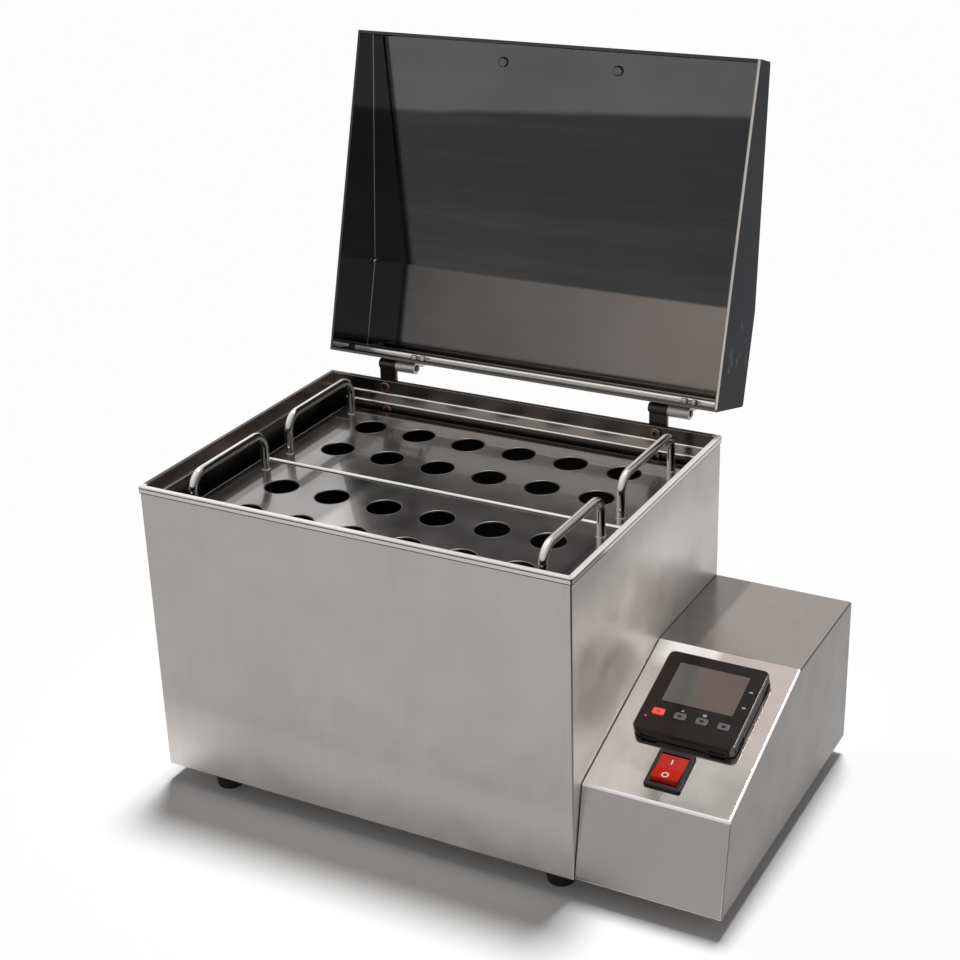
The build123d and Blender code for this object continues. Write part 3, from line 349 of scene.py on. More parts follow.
def coverFaces(tree, spot, tint, rough):
    # the sloping panel is polished, the rest is brushed, and each face gets a painted tone of light
    # and reflection
    tones = coverTones
    normal, place = split(tree, spot["Normal"]), split(tree, spot["Object"])
    x, y = offCentre(tree, place)
    lean = math.cos(slopeTilt)
    sloping = between(tree, normal["Z"], lean - 0.02, lean + 0.02, 0.008)
    front = spread(tree, normal["Y"], -0.8, -0.95, 0, 1)
    side = spread(tree, normal["X"], 0.6, 0.95, 0, 1)
    level = spread(tree, normal["Z"], 0.985, 0.995, 0, 1)
    # the flat top mirrors the tank wall beside it
    end = tones["topLeftEnd"]
    patch = product(tree, level, spread(tree, x, end + 0.002, end - 0.002, 0, 1))
    tint = blendColour(tree, patch, tint, rgba(tones["topLeft"]))
    tint = blendColour(tree, front, tint, rgba(tones["front"]))
    tint = blendColour(tree, side, tint, rgba(tones["side"]))
    slopeTop, slopeEnd = slope["topY"] / 1000, (slope["topY"] - slope["run"]) / 1000
    down = spread(tree, y, slopeTop, slopeEnd, 0, 1)
    panel = blendColour(tree, spread(tree, down, 0.55, 0.75, 0, 1), rgba(tones["slopeRight"]),
                        rgba(tones["slopeLow"]))
    panel = blendColour(tree, spread(tree, x, 0.186, 0.212, 0, 1), rgba(tones["slopeLeft"]), panel)
    # a soft darker wave near the lower right
    wave = noise(tree, stretched(tree, spot["Object"], tones["wave"]), 1.0, 1.0, 0.4)
    waves = product(tree, spread(tree, wave, 0.52, 0.62, 0, 0.5),
                    spread(tree, down, 0.6, 0.8, 0, 1))
    panel = blendColour(tree, waves, panel, rgba(scaled(tones["slopeLow"], 0.6)))
    tint = blendColour(tree, sloping, tint, panel)
    # white light along the upper left of the panel, its bends and its right edge
    upper = product(tree, spread(tree, down, 0.075, 0.055, 0, 1),
                    spread(tree, x, 0.213, 0.206, 0, 1))
    left = product(tree, spread(tree, down, 0.20, 0.10, 0, 1),
                   spread(tree, x, 0.180, 0.176, 0, 1))
    glint = product(tree, sloping, largest(tree, upper, left))
    bend = product(tree, rounded(tree, normal["Y"]), rounded(tree, normal["Z"]),
                   opposite(tree, sloping))
    # painted reflections on the right edge: light along the slope, dark on the flat top, brown down
    # the front corner
    alongEdge = between(tree, normal["X"], 0.42, 0.86, 0.04)
    upward = spread(tree, normal["Z"], 0.1, 0.2, 0, 1)
    besideSlope = spread(tree, y, slopeTop + 0.001, slopeTop - 0.003, 0, 1)
    rightBend = product(tree, alongEdge, besideSlope, upward, 0.75)
    bright = largest(tree, glint, largest(tree, bend, rightBend))
    tint = blendColour(tree, bright, tint, rgba(tones["edge"]))
    besideTop = spread(tree, y, slopeTop - 0.002, slopeTop + 0.002, 0, 1)
    topEdge = product(tree, alongEdge, besideTop, upward)
    tint = blendColour(tree, topEdge, tint, rgba(tones["darkEdge"]))
    frontEdge = product(tree, alongEdge, spread(tree, normal["Z"], 0.2, 0.1, 0, 1),
                        spread(tree, place["Z"], 0.02, 0.07, 0.2, 1))
    tint = blendColour(tree, frontEdge, tint, rgba(tones["brownEdge"]))
    # painted shade in the groove along the left bend, against the casing
    leftBend = product(tree, rounded(tree, normal["X"]),
                       spread(tree, normal["X"], -0.4, -0.2, 1, 0))
    tint = blendColour(tree, leftBend, tint, rgba(tones["leftEdge"]))
    return tint, spread(tree, sloping, 0, 1, rough, tones["slopeRough"]), bright


trimTones = dict(inner=(0.085, 0.075, 0.068), innerLeft=(0.30, 0.24, 0.215), innerRough=0.30,
                 line=(0.05, 0.045, 0.042), upperLine=(0.2341, 0.2349), lowerEdge=(0.2315, 0.2318),
                 top=(0.93, 0.90, 0.88), darkTop=(0.075, 0.070, 0.066), mitre=0.00016,
                 right=0.165, rear=0.1245)


def trimFaces(tree, spot, tint, rough):
    # a painted highlight on the top over the front and right walls and a painted dark reflection on
    # the other tops, painted dark lines under it, at the lower edge and on the rounded corners,
    # painted shade on the inner leg (lighter on the left), and dark mitre seams at the corners
    tones = trimTones
    place, normal = split(tree, spot["Object"]), split(tree, spot["Normal"])
    x, y = offCentre(tree, place)
    fromEnd = maths(tree, "SUBTRACT", tones["right"], maths(tree, "ABSOLUTE", x))
    fromSide = maths(tree, "SUBTRACT", tones["rear"], maths(tree, "ABSOLUTE", y))
    deep = largest(tree, fromEnd, fromSide)
    near = maths(tree, "MINIMUM", fromEnd, fromSide)
    upright = spread(tree, maths(tree, "ABSOLUTE", normal["Z"]), 0.3, 0.6, 1, 0)
    isInner = spread(tree, near, 0.0030, 0.0036, 0, 1)
    inner = product(tree, upright, isInner)
    innerTint = blendColour(tree, spread(tree, x, -0.155, -0.150, 1, 0), rgba(tones["inner"]),
                            rgba(tones["innerLeft"]))
    tint = blendColour(tree, inner, tint, innerTint)
    outer = product(tree, upright, opposite(tree, isInner))
    lines = largest(tree, between(tree, place["Z"], *tones["upperLine"], 0.0002),
                    spread(tree, place["Z"], *tones["lowerEdge"], 1, 0))
    corner = product(tree, rounded(tree, normal["X"]), rounded(tree, normal["Y"]))
    dark = product(tree, outer, largest(tree, lines, corner))
    tint = blendColour(tree, dark, tint, rgba(tones["line"]))
    ahead = largest(tree, spread(tree, x, 0.1585, 0.1600, 0, 1),
                    spread(tree, y, -0.1180, -0.1195, 0, 1))
    level = opposite(tree, upright)
    tint = blendColour(tree, level, tint, rgba(tones["darkTop"]))
    bright = product(tree, level, ahead)
    tint = blendColour(tree, bright, tint, rgba(tones["top"]))
    seam = spread(tree, maths(tree, "ABSOLUTE", maths(tree, "SUBTRACT", deep, near)),
                  tones["mitre"] * 0.5, tones["mitre"] * 1.5, 1, 0)
    tint = blendColour(tree, seam, tint, rgba(tones["line"]))
    return tint, spread(tree, inner, 0, 1, rough, tones["innerRough"]), bright


barTones = dict(light=(0.96, 0.93, 0.91), dark=(0.075, 0.068, 0.064),
                towards=(-0.46, -0.36, 0.81), second=(0.96, -0.05, -0.27))


def barFaces(tree, spot, tint, rough):
    # drawn bar with a hard polish, its reflections painted in: light above and on the left, dark
    # underneath, and a thinner light line down the right, the lit parts made matte
    facing = dot(tree, spot["Normal"], barTones["towards"])
    second = dot(tree, spot["Normal"], barTones["second"])
    low = blendColour(tree, spread(tree, facing, -0.15, 0.50, 0, 1), rgba(barTones["dark"]), tint)
    lit = largest(tree, spread(tree, facing, 0.45, 0.80, 0, 1),
                  spread(tree, second, 0.82, 0.97, 0, 0.7))
    return blendColour(tree, lit, low, rgba(barTones["light"])), rough, product(tree, lit, 0.8)


rackTones = dict(bend=(0.95, 0.93, 0.90), flange=(0.03, 0.028, 0.027), left=(0.25, 0.245, 0.24),
                 leftEndFront=-0.050, leftEndRear=-0.088, atWall=(0.105, 0.10, 0.098),
                 wallEdge=-0.121, rear=(0.14, 0.13, 0.125), rearEdge=0.106)


def rackFaces(tree, spot, tint, rough):
    # the polished plates mirror the tank's left wall and rear wall as painted darker bands, the
    # bends beside them get a painted highlight, and the down-turned flanges get painted shade
    tones = rackTones
    normal, place = split(tree, spot["Normal"]), split(tree, spot["Object"])
    x, y = offCentre(tree, place)
    level = spread(tree, normal["Z"], 0.97, 0.995, 0, 1)
    border = spread(tree, y, -0.001, 0.001, tones["leftEndFront"], tones["leftEndRear"])
    left = spread(tree, maths(tree, "SUBTRACT", x, border), -0.004, 0.004, 1, 0)
    tint = blendColour(tree, product(tree, level, left), tint, rgba(tones["left"]))
    wall, back = tones["wallEdge"], tones["rearEdge"]
    atWall = product(tree, level, spread(tree, x, wall - 0.001, wall + 0.001, 1, 0))
    tint = blendColour(tree, atWall, tint, rgba(tones["atWall"]))
    rear = product(tree, level, spread(tree, y, back - 0.003, back + 0.003, 0, 1))
    tint = blendColour(tree, rear, tint, rgba(tones["rear"]))
    bend = product(tree, spread(tree, normal["Z"], 0.35, 0.55, 0, 1), opposite(tree, level))
    tint = blendColour(tree, bend, tint, rgba(tones["bend"]))
    down = spread(tree, maths(tree, "ABSOLUTE", normal["Z"]), 0.25, 0.35, 1, 0)
    return blendColour(tree, down, tint, rgba(tones["flange"])), rough, bend


lidTones = dict(top=(0.105, 0.105, 0.107), middle=(0.038, 0.038, 0.040),
                low=(0.048, 0.047, 0.048), rightMiddle=(0.034, 0.034, 0.036),
                topEdgeLeft=-0.065, topEdgeRight=-0.084, bend=0.053,
                stripLeft=(0.072, 0.069, 0.068), stripRight=(0.185, 0.167, 0.155),
                wipe=(0.16, 0.16, 0.16), wipeAmount=0.10, wipeScale=(3, 60, 60),
                wall=(0.25, 0.25, 0.252), outerWall=(0.048, 0.050, 0.054),
                smear=(0.16, 0.162, 0.168), smearScale=(40, 70, 180),
                rearTop=(0.95, 0.92, 0.90), rearStrip=0.266, rearGrey=(0.75, 0.73, 0.71),
                rearDarkTop=0.2435, rearDark=(0.25, 0.24, 0.235), rim=(0.055, 0.052, 0.050),
                rearRim=(0.10, 0.095, 0.09), rightRim=(0.50, 0.46, 0.43))


def lidFaces(tree, spot, tint, rough):
    # the polished inside mirrors a dark room: it is lighter along the top and on the low strip
    tones = lidTones
    turn = math.radians(hinge["open"])
    pin = at(0, hinge["y"], hinge["z"])
    shift = pin - Matrix.Rotation(turn, 3, "X") @ pin - at(0, 0, 0)
    closed = addNode(tree, "ShaderNodeMapping", {"Vector": spot["Object"], "Location": shift,
                                                 "Rotation": (turn, 0, 0)}).outputs[0]
    facing = addNode(tree, "ShaderNodeMapping", {"Vector": spot["Normal"],
                                                 "Rotation": (turn, 0, 0)},
                     vector_type="VECTOR").outputs[0]
    place, normal = split(tree, closed), split(tree, facing)
    x, y, z = place["X"], place["Y"], place["Z"]
    roof = spread(tree, normal["Z"], -0.4, -0.7, 0, 1)
    cloud = noise(tree, closed, 14.0, 3.0, 0.5)
    wobble = spread(tree, cloud, 0.3, 0.7, -0.001, 0.001)
    edge = spread(tree, x, -0.162, 0.162, tones["topEdgeLeft"], tones["topEdgeRight"])
    band = maths(tree, "ADD", maths(tree, "SUBTRACT", edge, y), wobble)
    inside = blendColour(tree, spread(tree, y, -0.02, 0.05, 0, 1), rgba(tones["middle"]),
                         rgba(tones["low"]))
    right = product(tree, spread(tree, x, 0.02, 0.15, 0, 1), between(tree, y, -0.07, 0.02, 0.03))
    inside = blendColour(tree, right, inside, rgba(tones["rightMiddle"]))
    inside = blendColour(tree, spread(tree, band, -0.001, 0.003, 0, 1), inside, rgba(tones["top"]))
    strip = blendColour(tree, spread(tree, x, -0.13, 0.15, 0, 1), rgba(tones["stripLeft"]),
                        rgba(tones["stripRight"]))
    bend = tones["bend"]
    inside = blendColour(tree, spread(tree, y, bend - 0.001, bend + 0.001, 0, 1), inside, strip)
    # long wipe marks across the sheet
    wipe = noise(tree, stretched(tree, closed, tones["wipeScale"]), 1.0, 4.0, 0.6)
    inside = blendColour(tree, spread(tree, wipe, 0.45, 0.75, 0, tones["wipeAmount"]), inside,
                         rgba(tones["wipe"]))
    tint = blendColour(tree, roof, tint, inside)
    wall = spread(tree, maths(tree, "ABSOLUTE", normal["X"]), 0.6, 0.9, 0, 1)
    tint = blendColour(tree, wall, tint, rgba(tones["wall"]))
    outer = product(tree, wall, spread(tree, maths(tree, "ABSOLUTE", x), 0.1612, 0.1617, 0, 1))
    tint = blendColour(tree, outer, tint, rgba(tones["outerWall"]))
    # finger marks low on the outside
    touch = noise(tree, stretched(tree, closed, tones["smearScale"]), 1.0, 3.0, 0.6)
    touched = product(tree, outer, spread(tree, touch, 0.60, 0.72, 0, 0.8),
                      between(tree, y, 0.060, 0.105, 0.01))
    tint = blendColour(tree, touched, tint, rgba(tones["smear"]))
    # painted reflection and highlight: the rear wall's inside gets darker towards the rim, with a
    # white band at its top
    rearWall = product(tree, spread(tree, normal["Y"], -0.6, -0.9, 0, 1),
                       spread(tree, y, 0.110, 0.115, 0, 1))
    darkTop, greyTop = tones["rearDarkTop"], tones["rearStrip"]
    rearTint = blendColour(tree, spread(tree, z, darkTop, darkTop + 0.001, 0, 1),
                           rgba(tones["rearDark"]), rgba(tones["rearGrey"]))
    rearTint = blendColour(tree, spread(tree, z, greyTop, greyTop + 0.001, 0, 1), rearTint,
                           rgba(tones["rearTop"]))
    tint = blendColour(tree, rearWall, tint, rearTint)
    # the cut rim is dark and dull, with a painted highlight along its right side and another tone
    # by the hinge
    rim = spread(tree, z, 0.2368, 0.2372, 1, 0)
    cut = blendColour(tree, spread(tree, x, 0.1600, 0.1608, 0, 1), rgba(tones["rim"]),
                      rgba(tones["rightRim"]))
    atHinge = spread(tree, y, 0.1208, 0.1216, 0, 1)
    cut = blendColour(tree, atHinge, cut, rgba(tones["rearRim"]))
    return blendColour(tree, rim, tint, cut), rough, None


steels = {
    "satinSheet": dict(tint=(0.385, 0.365, 0.35), rough=0.40, grain=(700, 700, 6), grainTone=0.025,
                       bump=0.05, faces=casingFaces),
    "coverSheet": dict(tint=(0.31, 0.286, 0.270), rough=0.24, grain=(700, 8, 700), grainTone=0.03,
                       bump=0.03, faces=coverFaces),
    "rimSheet": dict(tint=(0.50, 0.48, 0.465), rough=0.12, grain=(6, 500, 500), grainTone=0.03,
                     bump=0.02, faces=trimFaces),
    "rimStrip": dict(tint=(0.30, 0.28, 0.265), rough=0.22, grain=(6, 500, 500), grainTone=0.04,
                     bump=0.02),
    "rolledEdge": dict(tint=(0.80, 0.78, 0.75), rough=0.20, grain=(6, 500, 500), grainTone=0.04,
                       bump=0.02),
    "holeEdge": dict(tint=(0.13, 0.125, 0.12), rough=0.40, grain=(900, 900, 900), grainTone=0.03,
                     bump=0.02),
    "lidSheet": dict(tint=(0.30, 0.295, 0.29), rough=0.10, grain=(5, 500, 500), grainTone=0.02,
                     bump=0.015, cloudTone=0.12, grazing=0.50, faces=lidFaces),
    "rackSheet": dict(tint=(0.56, 0.54, 0.525), rough=0.22, grain=(5, 500, 500), grainTone=0.02,
                      bump=0.01, polish=1.6, faces=rackFaces),
    "roundBar": dict(tint=(0.50, 0.48, 0.465), rough=0.10, grain=(900, 900, 40), grainTone=0.03,
                     bump=0.02, faces=barFaces),
    "tankSheet": dict(tint=(0.12, 0.115, 0.11), rough=0.30, grain=(500, 500, 6), grainTone=0.03,
                      bump=0.03),
    "hingeSteel": dict(tint=(0.045, 0.043, 0.042), rough=0.30, grain=(40, 900, 900), grainTone=0.05,
                       bump=0.04),
    "leafSteel": dict(tint=(0.46, 0.44, 0.43), rough=0.50, grain=(40, 900, 900), grainTone=0.05,
                      bump=0.04),
    "boltSteel": dict(tint=(0.17, 0.10, 0.085), rough=0.24, grain=(900, 900, 900), grainTone=0.08,
                      bump=0.05),
    "screwSteel": dict(tint=(0.55, 0.54, 0.53), rough=0.20, grain=(900, 900, 900), grainTone=0.04,
                       bump=0.03),
    "darkScrew": dict(tint=(0.10, 0.10, 0.10), rough=0.28, grain=(900, 900, 900), grainTone=0.06,
                      bump=0.05),
    "weldBead": dict(tint=(0.52, 0.49, 0.46), rough=0.26, grain=(1500, 1500, 1500), grainTone=0.08,
                     bump=0.20),
    "clampAluminium": dict(tint=(0.66, 0.66, 0.67), rough=0.32, grain=(6, 500, 500), grainTone=0.04,
                           bump=0.05),
    "turnedBrass": dict(tint=(0.66, 0.46, 0.20), rough=0.25, grain=(60, 900, 900), grainTone=0.04,
                        bump=0.04),
}
finish = {name: steelMaterial(name, look) for name, look in steels.items()}


# mouldings, rubber and boards

def mouldedMaterial(name, look):
    material, tree, shader = startMaterial(name)
    spot = addNode(tree, "ShaderNodeTexCoord").outputs
    where = spot["Object"]
    texture = noise(tree, where, look.get("textureScale", 2600.0), 2.0, 0.5)
    cloud = noise(tree, where, look.get("cloudScale", 60.0), 2.0, 0.5)
    tint = look["tint"]
    colour = blendColour(tree, spread(tree, cloud, 0.35, 0.65, 0, 1), rgba(scaled(tint, 0.92)),
                         rgba(scaled(tint, 1.10)))
    if look.get("bevel"):
        # painted highlights on the bevels down the left and right sides
        sideways = maths(tree, "ABSOLUTE", split(tree, spot["Normal"])["X"])
        colour = blendColour(tree, between(tree, sideways, 0.40, 0.90, 0.04), colour,
                             rgba(look["bevel"]))
    if look.get("panes"):
        # another tone left of a slanting line
        tone, border = look["panes"]
        place = split(tree, where)
        x, y = offCentre(tree, place)
        slanted = maths(tree, "ADD", x, maths(tree, "MULTIPLY", y, 0.10))
        isLeft = spread(tree, slanted, border - 0.001, border + 0.001, 1, 0)
        colour = blendColour(tree, isLeft, colour, rgba(tone))
    tree.links.new(colour, shader.inputs["Base Color"])
    tree.links.new(spread(tree, cloud, 0.3, 0.7, look["rough"] * 0.85, look["rough"] * 1.15),
                   shader.inputs["Roughness"])
    shader.inputs["Specular IOR Level"].default_value = look.get("specular", 0.5)
    if look.get("inner"):
        shader.inputs["Subsurface Weight"].default_value = look["inner"]
        shader.inputs["Subsurface Radius"].default_value = (0.004, 0.001, 0.001)
        shader.inputs["Subsurface Scale"].default_value = 1.0
    bump = addNode(tree, "ShaderNodeBump", {"Height": texture, "Strength": look.get("bump", 0.1),
                                            "Distance": 0.00005})
    tree.links.new(bump.outputs[0], shader.inputs["Normal"])
    return material


mouldings = {
    "blackGloss": dict(tint=(0.016, 0.011, 0.010), rough=0.12, specular=0.15, bump=0.02,
                       bevel=(0.18, 0.17, 0.165)),
    "blackSatin": dict(tint=(0.008, 0.008, 0.008), rough=0.34, specular=0.12, bump=0.25),
    "footRubber": dict(tint=(0.012, 0.011, 0.011), rough=0.62, specular=0.3, bump=0.4),
    "displayPane": dict(tint=(0.115, 0.078, 0.072), rough=0.10, specular=0.40, bump=0.02,
                        cloudScale=20.0, panes=((0.100, 0.096, 0.086), 0.2075)),
    "redCap": dict(tint=(0.88, 0.055, 0.012), rough=0.30, specular=0.3),
    "greyCap": dict(tint=(0.060, 0.062, 0.060), rough=0.40, specular=0.25),
    "redRocker": dict(tint=(0.44, 0.011, 0.003), rough=0.30, specular=0.10, inner=0.2),
    "whiteInk": dict(tint=(0.66, 0.58, 0.55), rough=0.4, specular=0.4),
    "greyInk": dict(tint=(0.34, 0.335, 0.33), rough=0.4, specular=0.4),
    "redInk": dict(tint=(0.60, 0.03, 0.02), rough=0.4, specular=0.4),
    "fibreMat": dict(tint=(0.72, 0.70, 0.62), rough=0.9, specular=0.1, textureScale=900, bump=0.8),
    "mineralBoard": dict(tint=(0.66, 0.64, 0.58), rough=0.8, specular=0.2, textureScale=700,
                         bump=0.6),
    "heaterMat": dict(tint=(0.50, 0.12, 0.04), rough=0.5, specular=0.4, textureScale=1500,
                      bump=0.4),
    "gasketRubber": dict(tint=(0.02, 0.02, 0.02), rough=0.7, specular=0.3, bump=0.4),
    "paleNylon": dict(tint=(0.72, 0.70, 0.64), rough=0.4, specular=0.4),
    "darkPhenolic": dict(tint=(0.05, 0.035, 0.03), rough=0.4, specular=0.4),
}
finish.update({name: mouldedMaterial(name, look) for name, look in mouldings.items()})

nodeFinish = {
    "satinSheet": ["outer_casing", "base_plate", "rear_panel", "bottom_plate"],
    "coverSheet": ["control_cover"],
    "rimSheet": ["rim_trim"],
    "rimStrip": ["backing_strip"],
    "lidSheet": ["lid_shell"],
    "rackSheet": ["front_rack_plate", "rear_rack_plate", "front_rack_shelf", "rear_rack_shelf"],
    "roundBar": ["front_rack_left_wire", "front_rack_right_wire", "rear_rack_left_wire",
                 "rear_rack_right_wire", "lid_handle"],
    "tankSheet": ["inner_tank", "temperature_probe"],
    "hingeSteel": ["left_hinge_base", "right_hinge_base", "hinge_pins"],
    "leafSteel": ["left_hinge_leaf", "right_hinge_leaf"],
    "boltSteel": ["hinge_bolts"],
    "screwSteel": ["foot_screws", "heater_studs", "hinge_nuts", "leaf_screws", "housing_studs",
                   "rear_panel_screws", "bottom_plate_screws", "inlet_screws"],
    "darkScrew": ["lid_handle_screws"],
    "footRubber": ["feet"],
    "fibreMat": ["insulation_wrap"],
    "mineralBoard": ["floor_board"],
    "heaterMat": ["heater_pad"],
    "clampAluminium": ["heater_clamp", "power_relay"],
    "darkPhenolic": ["safety_thermostat"],
    "turnedBrass": ["probe_nut", "inlet_pins"],
    "blackGloss": ["controller_bezel"],
    "displayPane": ["controller_window"],
    "gasketRubber": ["controller_gasket"],
    "blackSatin": ["controller_case", "controller_clips", "switch_frame", "mains_inlet"],
    "paleNylon": ["terminal_block"],
    "redCap": ["controller_button_1"],
    "greyCap": ["controller_button_2", "controller_button_3", "controller_button_4"],
    "redRocker": ["power_rocker"],
}
for finishName, nodeNames in nodeFinish.items():
    for nodeName in nodeNames:
        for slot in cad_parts[nodeName].material_slots:
            slot.material = finish[finishName]
print("materials set:", len(finish))


# helpers for pieces

def addPiece(name, mesh, body, finishName):
    mesh.materials.append(finish[finishName])
    piece = bpy.data.objects.new(name, mesh)
    bpy.context.scene.collection.objects.link(piece)
    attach(piece, body)
    return piece


def flatMark(outlines, thickness, place):
    # a thin printed or inlaid shape: outlines are rings of points in millimetres, the first one
    # the outside and any other one a hole
    mesh = bpy.data.meshes.new("mark")
    shape = bmesh.new()
    edges = []
    for ring in outlines:
        points = [shape.verts.new((x / 1000, y / 1000, 0)) for x, y in ring]
        edges += [shape.edges.new((points[i - 1], points[i])) for i in range(len(points))]
    filled = bmesh.ops.triangle_fill(shape, edges=edges, use_beauty=True)
    faces = [f for f in filled["geom"] if isinstance(f, bmesh.types.BMFace)]
    grown = bmesh.ops.extrude_face_region(shape, geom=faces)
    lifted = [v for v in grown["geom"] if isinstance(v, bmesh.types.BMVert)]
    bmesh.ops.translate(shape, verts=lifted, vec=(0, 0, thickness / 1000))
    bmesh.ops.recalc_face_normals(shape, faces=shape.faces)
    bmesh.ops.transform(shape, matrix=place, verts=shape.verts)
    shape.to_mesh(mesh)
    shape.free()
    return mesh


def bar(width, height, x=0.0, y=0.0):
    return [(x - width / 2, y - height / 2), (x + width / 2, y - height / 2),
            (x + width / 2, y + height / 2), (x - width / 2, y + height / 2)]


def ring(radius, x=0.0, y=0.0, steps=32):
    turns = [2 * math.pi * i / steps for i in range(steps)]
    return [(x + radius * math.cos(turn), y + radius * math.sin(turn)) for turn in turns]


def softBar(width, height, corner, x=0.0, y=0.0):
    points = []
    for quarter, (sx, sy) in enumerate(((1, 1), (-1, 1), (-1, -1), (1, -1))):
        for step in range(7):
            turn = math.radians(90 * quarter + 15 * step)
            points.append((x + sx * (width / 2 - corner) + corner * math.cos(turn),
                           y + sy * (height / 2 - corner) + corner * math.sin(turn)))
    return points


# rocker marks

rocker = dict(down=107.5, level=2.4, tilt=12.0, lineY=5.9, lineX=-0.6, line=(0.9, 4.0), ringY=-6.2,
              ringOuter=2.5, ringInner=1.6, ink=0.12)


def addRockerMarks(look):
    panel = onSlope(look["down"])
    upper = panel @ Matrix.Translation(Vector((look["lineX"], look["lineY"], look["level"])) / 1000)
    line = flatMark([softBar(*look["line"], 0.5)], look["ink"], upper)
    addPiece("rocker_line", line, "rocker", "whiteInk")
    rise = Matrix.Rotation(-math.radians(look["tilt"]), 4, "X")
    lower = panel @ Matrix.Translation((0, 0, look["level"] / 1000)) @ rise
    lower = lower @ Matrix.Translation((look["lineX"] / 1000, look["ringY"] / 1000, 0))
    circle = flatMark([ring(look["ringOuter"]), ring(look["ringInner"])], look["ink"], lower)
    addPiece("rocker_ring", circle, "rocker", "whiteInk")


addRockerMarks(rocker)


# controller marks

controller = dict(down=50.0, face=8.0, buttonLift=8.7, pitch=15.3, rowDown=18.7, ink=0.04)


def addControllerMarks(look):
    panel = onSlope(look["down"])
    face = panel @ Matrix.Translation((0, 0, look["face"] / 1000))
    caps = panel @ Matrix.Translation((0, -look["rowDown"] / 1000, look["buttonLift"] / 1000))
    for i in range(4):
        x = (i - 1.5) * look["pitch"]
        centre = caps @ Matrix.Translation((x / 1000, 0, 0))
        if i == 0:
            mesh, ink = flatMark([softBar(2.4, 1.0, 0.4)], look["ink"], centre), "redRocker"
        else:
            mesh, ink = flatMark([softBar(2.8, 1.9, 0.6)], look["ink"], centre), "blackGloss"
        addPiece(f"button_mark_{i + 1}", mesh, f"button_{i + 1}", ink)
    up = [(-1.1, -0.7), (1.1, -0.7), (0, 0.9)]
    marks = {
        "mark_above_2": ([[(x - 7.65, y - 13.4) for x, y in up]], "greyInk"),
        "mark_above_3": ([bar(2.6, 0.8, 7.65, -13.6)], "greyInk"),
        "mark_above_3_upper": ([bar(2.6, 0.6, 7.65, -12.5)], "greyInk"),
        "mark_beside_display": ([softBar(2.6, 1.1, 0.5, 29.6, 14.5)], "greyInk"),
        "mark_beside_display_low": ([softBar(2.6, 1.1, 0.5, 29.6, 0.5)], "greyInk"),
        "power_mark": ([ring(0.8, -30.0, -24.0)], "redInk"),
    }
    for name, (outlines, ink) in marks.items():
        addPiece(name, flatMark(outlines, look["ink"], face), "bath", ink)


addControllerMarks(controller)
print("marks on rocker and controller added")


# weld beads round the rack wires and in the lid's corners

def bead(radius, thick, place, around=28, section=10):
    mesh = bpy.data.meshes.new("bead")
    shape = bmesh.new()
    rings = []
    for i in range(around):
        turn = 2 * math.pi * i / around
        ripple = 1 + 0.12 * math.sin(5 * turn) + 0.06 * math.sin(11 * turn + 1)
        loop = []
        for j in range(section):
            tilt = 2 * math.pi * j / section
            out = radius + thick * ripple * math.cos(tilt)
            loop.append(shape.verts.new((out * math.cos(turn) / 1000, out * math.sin(turn) / 1000,
                                         thick * 0.7 * ripple * math.sin(tilt) / 1000)))
        rings.append(loop)
    for i in range(around):
        for j in range(section):
            shape.faces.new((rings[i - 1][j - 1], rings[i][j - 1], rings[i][j], rings[i - 1][j]))
    bmesh.ops.recalc_face_normals(shape, faces=shape.faces)
    bmesh.ops.transform(shape, matrix=place, verts=shape.verts)
    for face in shape.faces:
        face.smooth = True
    shape.to_mesh(mesh)
    shape.free()
    return mesh


rackWires = dict(x=134.5, near=16.0, far=103.0, top=211.5, radius=3.0, thick=0.7)


def addWireWelds(look):
    for rack, side in (("front_rack", -1), ("rear_rack", 1)):
        for i, x in enumerate((-look["x"], look["x"])):
            for j, y in enumerate((look["near"], look["far"])):
                spot = Matrix.Translation(at(x, side * y, look["top"] + 0.2))
                mesh = bead(look["radius"] + 0.1, look["thick"], spot)
                addPiece(f"{rack}_weld_{i * 2 + j + 1}", mesh, rack, "weldBead")


addWireWelds(rackWires)

lidCorner = dict(x=159.4, y=52.6, roof=291.9, drop=2.7, size=(1.6, 2.6, 1.5))


def addLidWelds(look):
    # a blob of weld where bend and side wall meet
    for name, side in (("left", -1), ("right", 1)):
        mesh = bpy.data.meshes.new("blob")
        shape = bmesh.new()
        bmesh.ops.create_icosphere(shape, subdivisions=3, radius=0.001)
        for v in shape.verts:
            wave = math.sin(v.co.x * 4200 + side) * math.cos(v.co.y * 3100 + v.co.z * 2600)
            lump = 1 + 0.18 * wave
            v.co = Vector([c * s * lump for c, s in zip(v.co, look["size"])])
        spot = onOpenLid(side * look["x"], look["y"], look["roof"] - look["drop"])
        bmesh.ops.translate(shape, verts=shape.verts, vec=spot)
        for face in shape.faces:
            face.smooth = True
        shape.to_mesh(mesh)
        shape.free()
        addPiece(f"lid_weld_{name}", mesh, "lid", "weldBead")


addLidWelds(lidCorner)
print("weld beads added")


# rounded edges of the tube holes, and the rolled edges under the rim

tubeHoles = dict(columns=6, pitch=42.5, rows=(37.8, 84.4), radius=13.05, inner=12.15, top=211.55,
                 sheet=1.2)


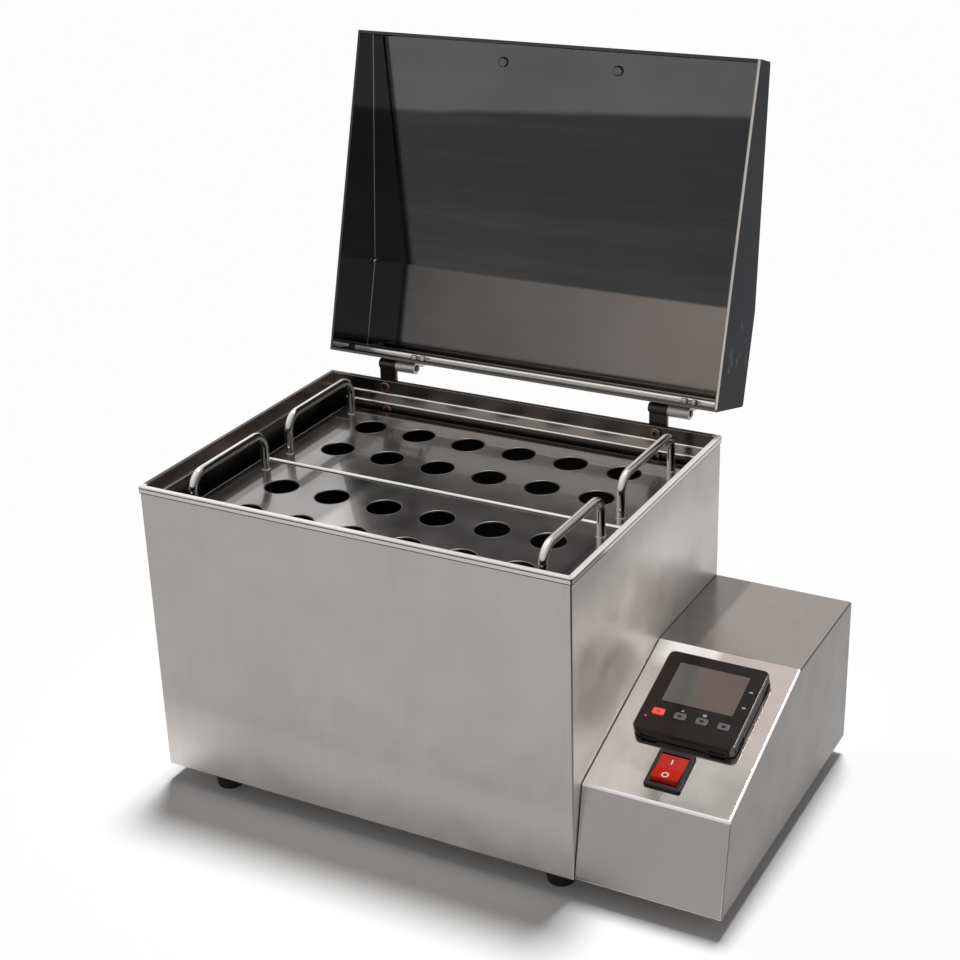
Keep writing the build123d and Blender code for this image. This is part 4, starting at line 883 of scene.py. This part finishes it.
def addHoleEdges(look):
    # one ring lines each hole, its inside edges rounded over
    half = look["sheet"] / 2 + 0.05
    middle = look["top"] - half
    profile = [(look["radius"], -half), (look["radius"], half)]
    for step in range(7):
        turn = math.pi * (0.5 + step / 6)
        out = look["inner"] + half * (1 + math.cos(turn))
        profile.append((out, half * math.sin(turn)))
    for rack, side in (("front_rack", -1), ("rear_rack", 1)):
        mesh = bpy.data.meshes.new("hole edges")
        shape = bmesh.new()
        for column in range(look["columns"]):
            for row in look["rows"]:
                x = look["pitch"] * (column - (look["columns"] - 1) / 2)
                loops = []
                for step in range(56):
                    turn = 2 * math.pi * step / 56
                    c, d = math.cos(turn), math.sin(turn)
                    spots = [at(x + r * c, side * row + r * d, middle + z) for r, z in profile]
                    loops.append([shape.verts.new(spot) for spot in spots])
                for i, loop in enumerate(loops):
                    for j in range(len(loop)):
                        before = loops[i - 1]
                        shape.faces.new((before[j - 1], before[j], loop[j], loop[j - 1]))
        bmesh.ops.recalc_face_normals(shape, faces=shape.faces)
        for face in shape.faces:
            face.smooth = True
        shape.to_mesh(mesh)
        shape.free()
        addPiece(f"{rack}_hole_edges", mesh, rack, "holeEdge")


addHoleEdges(tubeHoles)

rimHem = dict(x=160.6, y=120.1, z=225.0, radius=0.95, corner=1.4)
stripHem = dict(x=149.0, y=119.6, z=217.2, radius=0.95)


def rolledEdge(name, points, radius, closed, body="bath", place=at):
    curve = bpy.data.curves.new(name, "CURVE")
    curve.dimensions = "3D"
    curve.bevel_depth = radius / 1000
    curve.bevel_resolution = 3
    curve.use_fill_caps = not closed
    line = curve.splines.new("POLY")
    line.points.add(len(points) - 1)
    for point, spot in zip(line.points, points):
        point.co = (*place(*spot), 1)
    line.use_cyclic_u = closed
    shown = bpy.data.objects.new(name, curve)
    bpy.context.scene.collection.objects.link(shown)
    mesh = bpy.data.meshes.new_from_object(shown)
    bpy.data.objects.remove(shown)
    for polygon in mesh.polygons:
        polygon.use_smooth = True
    addPiece(name, mesh, body, "rolledEdge")


corners = softBar(2 * rimHem["x"], 2 * rimHem["y"], rimHem["corner"])
rolledEdge("rim_rolled_edge", [(x, y, rimHem["z"]) for x, y in corners], rimHem["radius"], True)
ends = [(side * stripHem["x"], stripHem["y"], stripHem["z"]) for side in (-1, 1)]
rolledEdge("strip_rolled_edge", ends, stripHem["radius"], False)

# the bead that stiffens the lid's rear wall, on its inside
lidBead = dict(x=158.0, y=121.4, z=268.7, radius=1.7)
ends = [(side * lidBead["x"], lidBead["y"], lidBead["z"]) for side in (-1, 1)]
rolledEdge("lid_rear_bead", ends, lidBead["radius"], False, "lid", onOpenLid)

boltHole = dict(radius=1.7, reach=4.4, sink=0.04, levels=(("upper", 230.8, 118.3),
                                                          ("lower", 212.0, 119.1)))


def addBoltHoles(look):
    # a flat black disc on each bolt head, as painted shade in its socket
    low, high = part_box("hinge_bolts")
    reach = look["reach"] / 1000
    for name, x in (("left", low[0] + reach), ("right", high[0] - reach)):
        for level, z, y in look["levels"]:
            spot = at(0, y, z)
            spot.x = x
            place = Matrix.Translation(spot) @ Matrix.Rotation(math.radians(90), 4, "X")
            socket = flatMark([ring(look["radius"], steps=6)], look["sink"], place)
            addPiece(f"bolt_socket_shade_{name}_{level}", socket, "bath", "blackSatin")


addBoltHoles(boltHole)
print("rounded and rolled edges added")
